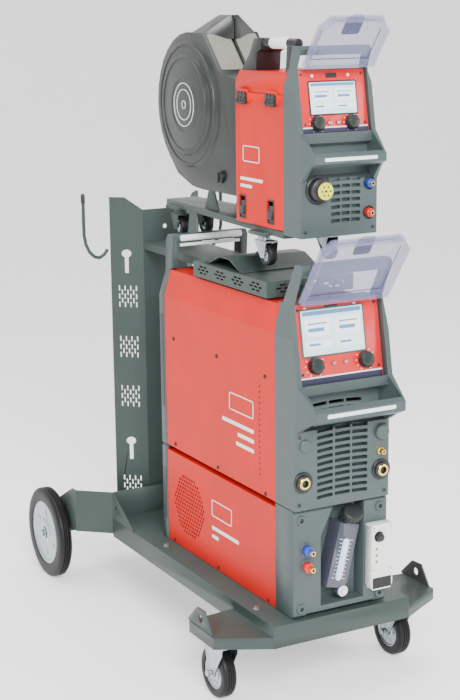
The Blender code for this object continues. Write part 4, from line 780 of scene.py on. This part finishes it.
# ---------------------------------------------------------------- cooler details
def cooler_details():
    """Gauge, drain plug, coupling seats, cap ribs and control plate marks."""
    a = math.radians(14.0)
    tank = Face(spot(0.0, -0.086, 0.330), (math.cos(a), 0, -math.sin(a)), (math.sin(a), 0, math.cos(a)))
    gauge = Shape()
    gauge.plate(tank, rect(-0.0085, 0.0085, -0.047, 0.052, 0.008), 0.0, 0.0026, 0.0008)
    gauge.done("cooler_gauge", "sight", "cart", "blue_plastic")
    marks = Shape()
    for k in range(11):
        long = 0.0075 if k % 5 == 0 else 0.0045
        marks.plate(tank, rect(0.0105, 0.0105 + long, -0.0424 + 0.0090 * k, -0.0412 + 0.0090 * k), 0.0, 0.0005)
        marks.plate(tank, rect(-0.0105 - long, -0.0105, -0.0424 + 0.0090 * k, -0.0412 + 0.0090 * k), 0.0, 0.0005)
    marks.plate(tank, rect(-0.0012, 0.0012, -0.042, 0.047, 0.001), 0.0026, 0.0031)
    plug = spot(0.0035, -0.080 - 0.0042, 0.2560)
    marks.turned(plug, (0, -1, 0), [(0, 0.0125), (0.002, 0.0125), (0.003, 0.0115)], 24)
    marks.turned(plug + Vector((0, -0.003, 0)), (0, -1, 0), [(0, 0.0085), (0.005, 0.0080), (0.006, 0.0068)], 6)
    marks.done("cooler_marks", "white_grip", "cart", "cream_label")
    seats = Shape()
    for z in COOLER_COUPLING_Z:
        seats.lathe(COOL_FACE.at(-0.0905, z), COOL_FACE.n, [(0.0, 0.0118), (0.0, 0.0170), (0.0020, 0.0170),
                                                           (0.0028, 0.0160), (0.0028, 0.0118)], 28)
    for u, v in COOLER_BOLTS:
        seats.lathe(COOL_FACE.at(u, v), COOL_FACE.n, [(-0.0005, 0.0052), (-0.0005, 0.0125), (0.0035, 0.0105),
                                                      (0.0035, 0.0052)], 24)
    seats.done("cooler_seats", "casting_grey", "cart")
    cap = Shape()
    neck = spot(0.022, -0.062, 0.405)
    axis = Vector((0.06, -0.62, 0.78)).normalized()
    start = neck + axis * 0.0304
    side = axis.orthogonal().normalized()
    for k in range(18):
        t = 2.0 * math.pi * k / 18.0
        across = (Matrix.Rotation(t, 3, axis) @ side).normalized()
        face = Face(start + across * 0.0232, axis.cross(across), axis)
        cap.plate(face, rect(-0.0013, 0.0013, 0.004, 0.0165), -0.0010, 0.0012, 0.0004)
    cap.done("cooler_cap_ribs", "black_plastic", "cooler_filler_cap")
    brass = Shape()
    for z in COOLER_COUPLING_Z:
        brass.lathe(COOL_FACE.at(-0.0905, z), COOL_FACE.n, [(0.0265, 0.0036), (0.0265, 0.0064), (0.0310, 0.0060),
                                                           (0.0310, 0.0036)], 20)
    brass.done("cooler_brass", "brass", "cart")
    dark = Shape()
    dark.plate(PLATE_FACE, rect(0.0700, 0.1200, 0.2535, 0.2790, 0.002), 0.0001, 0.0008)
    dark.plate(PLATE_FACE, circle(0.086, 0.377, 0.0128, 28), 0.0001, 0.0003)
    for v in LAMP_Z:
        dark.plate(PLATE_FACE, circle(0.080, v, 0.0030, 14), 0.0001, 0.0010, 0.0003)
    for k in range(7):
        t = math.radians(-50.0 + 45.0 * k)
        u, v = 0.086 + 0.0172 * math.cos(t), 0.377 + 0.0172 * math.sin(t)
        dark.plate(PLATE_FACE, circle(u, v, 0.0009, 8), 0.0001, 0.0006)
    dark.done("cooler_plate_marks", "shadow", "cart", "black_plastic")
    lamps = Shape()
    for v in LAMP_Z:
        lamps.turned(PLATE_FACE.at(0.080, v), PLATE_FACE.n, [(0.0008, 0.0021), (0.0016, 0.0018), (0.0020, 0.0010)],
                     14)
    lamps.done("cooler_lamps", "lamp_green", "cart", "blue_plastic")
    screws = Shape()
    for u in (0.0720, 0.1185):
        screws.screw(PLATE_FACE, u, 0.2985, 0.0024, 0.0, 0.0014)
        screws.screw(PLATE_FACE, u, 0.3985, 0.0024, 0.0, 0.0014)
    screws.done("cooler_plate_screws", "machine_steel", "cart")


cooler_details()


# ---------------------------------------------------------------- feeder details
def feeder_details():
    """Connector cups and cores, door hinges, latch frames and screws."""
    cups = Shape()
    centre = SM_FACE.at(-0.0545, 1.167)
    cups.lathe(centre, SM_FACE.n, [(0.0, 0.0254), (0.0, 0.0310), (0.0040, 0.0310), (0.0055, 0.0290),
                                   (0.0055, 0.0254)], 40)
    for _, u, v in COUPLINGS:
        cups.lathe(SM_FACE.at(u, v), SM_FACE.n, [(-0.0068, 0.0040), (-0.0068, 0.0146), (-0.0040, 0.0146),
                                                 (-0.0040, 0.0040)], 28)
    cups.done("feeder_cups", "black_plastic", "feeder")
    start = Vector((-0.0545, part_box("feeder_euro_connector")[0].y, 1.167))
    core = Shape()
    core.lathe(start, (0, -1, 0), [(0.0003, 0.0030), (0.0003, 0.0185), (0.0025, 0.0185), (0.0036, 0.0172),
                                   (0.0036, 0.0030)], 36)
    core.done("feeder_connector_core", "yellow", "feeder", "brass")
    pins = Shape()
    for k in range(6):
        a = math.radians(60.0 * k)
        place = start + Vector((0.0105 * math.cos(a), -0.0036, 0.0105 * math.sin(a)))
        pins.turned(place, (0, -1, 0), [(0, 0.0020), (0.0003, 0.0020), (0.0004, 0.0018)], 12)
    pins.done("feeder_connector_pins", "shadow", "feeder", "black_plastic")
    nose = Shape()
    for _, u, v in COUPLINGS:
        nose.lathe(SM_FACE.at(u, v), SM_FACE.n, [(-0.004, 0.0028), (-0.004, 0.0052), (0.0150, 0.0052),
                                                 (0.0150, 0.0028)], 20)
    nose.done("feeder_brass", "brass", "feeder")
    for name, u, v in COUPLINGS:
        ring = Shape()
        ring.lathe(SM_FACE.at(u, v), SM_FACE.n, [(-0.0035, 0.0054), (-0.0035, 0.0098), (0.0085, 0.0098),
                                                 (0.0095, 0.0088), (0.0095, 0.0054)], 28)
        ring.done("feeder_coupling_" + name, "blue_plastic" if name == "blue" else "ring_red", "feeder")
    lobes = Shape()
    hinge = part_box("feeder_door")[0].x
    for y in (0.047, 0.174):
        face = Face((hinge, DOOR.origin.y, 0.0), DOOR.u, DOOR.v)
        lobes.plate(face, rect(-y - 0.0205, -y + 0.0205, 1.3435, 1.3600, 0.003), -0.0035, 0.0010, 0.0006)
        for k in (-1, 0, 1):
            lobes.plate(face, circle(-y + 0.0140 * k, 1.3455, 0.0078, 20), -0.0033, 0.0030, 0.0010)
            lobes.plate(face, circle(-y + 0.0140 * k, 1.3600, 0.0062, 20), -0.0033, 0.0022, 0.0010)
            lobes.screw(face, -y + 0.0140 * k, 1.3455, 0.0030, 0.0030, 0.0018)
    lobes.done("feeder_door_hinges", "black_plastic", "feeder_door")
    recess = Shape()
    for y in (0.061, 0.187):
        outer = rect(-y - 0.0150, -y + 0.0150, 1.0810, 1.1350, 0.003)
        inner = rect(-y - 0.0119, -y + 0.0119, 1.0842, 1.1318, 0.002)
        recess.loft(hoop(outer, inner, DOOR, 0.0001, 0.0012), closed=True)
    recess.done("feeder_latch_frames", "black_plastic", "feeder_door")
    screws = Shape()
    for u in (-0.086, 0.086):
        screws.screw(SM_FACE, u, 1.078, 0.0036)
        screws.screw(SM_FACE, u, 1.218, 0.0034)
    screws.done("feeder_screws", "black_plastic", "feeder")


feeder_details()


# ---------------------------------------------------------------- spool case details
def spool_details():
    """Round mark, raised rings, quarter-turn knob, sloping windows and hinge knob."""
    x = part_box("spool_lid")[0].x
    disc = Face(spot(x, 0.484, 1.320), (0, -1, 0), (0, 0, 1))
    mark = Shape()
    for r in (0.0100, 0.0370, 0.0520):
        mark.lathe(disc.origin, disc.n, [(0.0001, r - 0.0016), (0.0001, r), (0.0008, r), (0.0008, r - 0.0016)], 64)
    mark.done("spool_round_mark", "white_grip", "spool_lid", "cream_label")
    dark = Shape()
    step = Vector((0.0080, 0.0, 0.0))
    for start, inner, outer, high, sides in ((disc.origin + step, 0.1390, 0.1430, 0.0014, 64),
                                             (disc.origin, 0.1080, 0.1125, 0.0012, 64),
                                             (disc.origin, 0.0620, 0.0660, 0.0010, 48)):
        dark.lathe(start, disc.n, [(-0.0005, inner), (-0.0005, outer), (high, outer - 0.001),
                                   (high, inner + 0.001)], sides)
    dark.done("spool_lid_ribs", "dark_grey", "spool_lid")
    knob = Shape()
    knob.turned(spot(-0.0755, 0.320, 1.160), (-1, 0, 0), [(0, 0.0140), (0.008, 0.0135), (0.010, 0.0115)], 28)
    bar = Face(spot(-0.0855, 0.320, 1.160), (0, -1, 0), (0, 0, 1))
    knob.plate(bar, rect(-0.0022, 0.0022, -0.0120, 0.0120, 0.001), -0.001, 0.0040, 0.001)
    knob.done("spool_knob_quarter", "black_plastic", "spool_lid")
    for word, side, body in (("left", -1.0, "spool_lid"), ("right", 1.0, "feeder")):
        low, high = spot(0.0, 0.3320, 1.4022), spot(0.0, 0.4130, 1.4880)
        face = Face(low, (1, 0, 0), high - low)
        long = (high - low).length
        u0, u1 = sorted((side * 0.0060, side * 0.0660))
        pane = Shape()
        pane.plate(face, rect(u0, u1, 0.004, long - 0.004, 0.004), 0.0002, 0.0024, 0.0008)
        pane.done("spool_window_" + word, "window", body, "dark_grey")
    hinge = Shape()
    hinge.turned(spot(-0.0010, 0.386, 1.5250), (0, 1, 0), [(0, 0.0040), (0.0008, 0.0046), (0.0056, 0.0046)], 18)
    hinge.done("spool_hinge_knob", "black_plastic", "feeder")


spool_details()


# ---------------------------------------------------------------- plain marks on the red sides
def side_marks():
    """Plain outline and bars in place of lettering."""
    def outline(shape, face, u0, u1, v0, v1, t, r):
        """Thin rounded frame, t wide."""
        outer, inner = rect(u0, u1, v0, v1, r), rect(u0 + t, u1 - t, v0 + t, v1 - t, r * 0.6)
        shape.loft(hoop(outer, inner, face, 0.00005, 0.0004), closed=True)

    shape = Shape()
    outline(shape, LEFT, -0.212, -0.098, 0.632, 0.674, 0.0024, 0.006)
    for v, u0 in ((0.598, -0.246), (0.575, -0.172), (0.552, -0.180)):
        shape.plate(LEFT, rect(u0, -0.096, v, v + 0.009, 0.002), 0.00005, 0.0004)
    outline(shape, LEFT, -0.306, -0.206, 0.342, 0.384, 0.0024, 0.006)
    for v, u0, u1 in ((0.308, -0.306, -0.172), (0.286, -0.306, -0.274)):
        shape.plate(LEFT, rect(u0, u1, v, v + 0.009, 0.002), 0.00005, 0.0004)
    shape.done("side_marks", "white_grip", "cart", "cream_label")
    small = Shape()
    outline(small, DOOR, -0.184, -0.110, 1.210, 1.246, 0.0020, 0.005)
    for v, u0, u1 in ((1.168, -0.196, -0.096), (1.152, -0.196, -0.144)):
        small.plate(DOOR, rect(u0, u1, v, v + 0.007, 0.0015), 0.00005, 0.0004)
    small.done("door_marks", "white_grip", "feeder_door", "cream_label")


side_marks()


# ---------------------------------------------------------------- the remaining CAD nodes
for name, item in NODES.items():
    dress(item.data, name)
    item.data.polygons.foreach_set("use_smooth", [True] * len(item.data.polygons))
    soften(item, width_of(name))


# ---------------------------------------------------------------- floor, light and camera
def stage():
    """Pale floor that curves up far behind, an even sky and four soft lamps."""
    mesh = bpy.data.meshes.new("floor")
    wide, start, bend = 40.0, 4.0, 5.0
    profile = [(-40.0, 0.0), (start, 0.0)]
    for k in range(1, 13):
        a = math.radians(7.5 * k)
        profile.append((start + bend * math.sin(a), bend - bend * math.cos(a)))
    profile.append((start + bend, 14.0))
    verts = [(x, y, z) for y, z in profile for x in (-wide, wide)]
    faces = [(2 * k, 2 * k + 1, 2 * k + 3, 2 * k + 2) for k in range(len(profile) - 1)]
    mesh.from_pydata(verts, [], faces)
    mesh.shade_smooth()
    floor = bpy.data.objects.new("floor", mesh)
    bpy.context.scene.collection.objects.link(floor)
    floor.data.materials.append(finish("floor", (0.94, 0.94, 0.94), 0.85, vary=0.01, scale=2.0,
                                       Emission_Color=(1.0, 1.0, 1.0, 1.0), Emission_Strength=0.50))
    world = bpy.data.worlds.new("studio")
    world.use_nodes = True
    world.node_tree.nodes["Background"].inputs["Color"].default_value = (1.0, 1.0, 1.0, 1.0)
    world.node_tree.nodes["Background"].inputs["Strength"].default_value = 0.80
    bpy.context.scene.world = world
    for name, place, target, size, power in (
            ("key", (-1.4, -4.2, 3.0), (0.0, 0.0, 0.7), 1.5, 340.0),
            ("fill", (3.2, -2.4, 2.0), (0.0, 0.0, 0.7), 2.4, 70.0),
            ("side", (-3.6, -0.6, 2.4), (0.0, 0.0, 0.7), 1.6, 42.0),
            ("top", (0.0, 0.2, 4.2), (0.0, 0.0, 0.5), 2.6, 110.0)):
        lamp = bpy.data.lights.new(name, "AREA")
        lamp.size = size
        lamp.energy = power
        item = bpy.data.objects.new(name, lamp)
        item.location = place
        item.rotation_euler = (Vector(target) - Vector(place)).to_track_quat("-Z", "Y").to_euler()
        bpy.context.scene.collection.objects.link(item)


def camera():
    """Long lens at chest height, in front of the left corner."""
    yaw, pitch, roll = (math.radians(a) for a in (28.514, 12.662, -0.634))
    ahead = Vector((math.sin(yaw) * math.cos(pitch), math.cos(yaw) * math.cos(pitch), -math.sin(pitch)))
    right = Vector((math.cos(yaw), -math.sin(yaw), 0.0))
    up = right.cross(ahead)
    x_axis = right * math.cos(roll) + up * math.sin(roll)
    y_axis = up * math.cos(roll) - right * math.sin(roll)
    data = bpy.data.cameras.new("camera")
    data.lens = 78.9
    data.sensor_width = 36.0
    item = bpy.data.objects.new("camera", data)
    turn = Matrix((x_axis, y_axis, -ahead)).transposed().to_4x4()
    item.matrix_world = Matrix.Translation((-1.7755, -3.2923, 1.5517)) @ turn
    bpy.context.scene.collection.objects.link(item)
    bpy.context.scene.camera = item


stage()
camera()
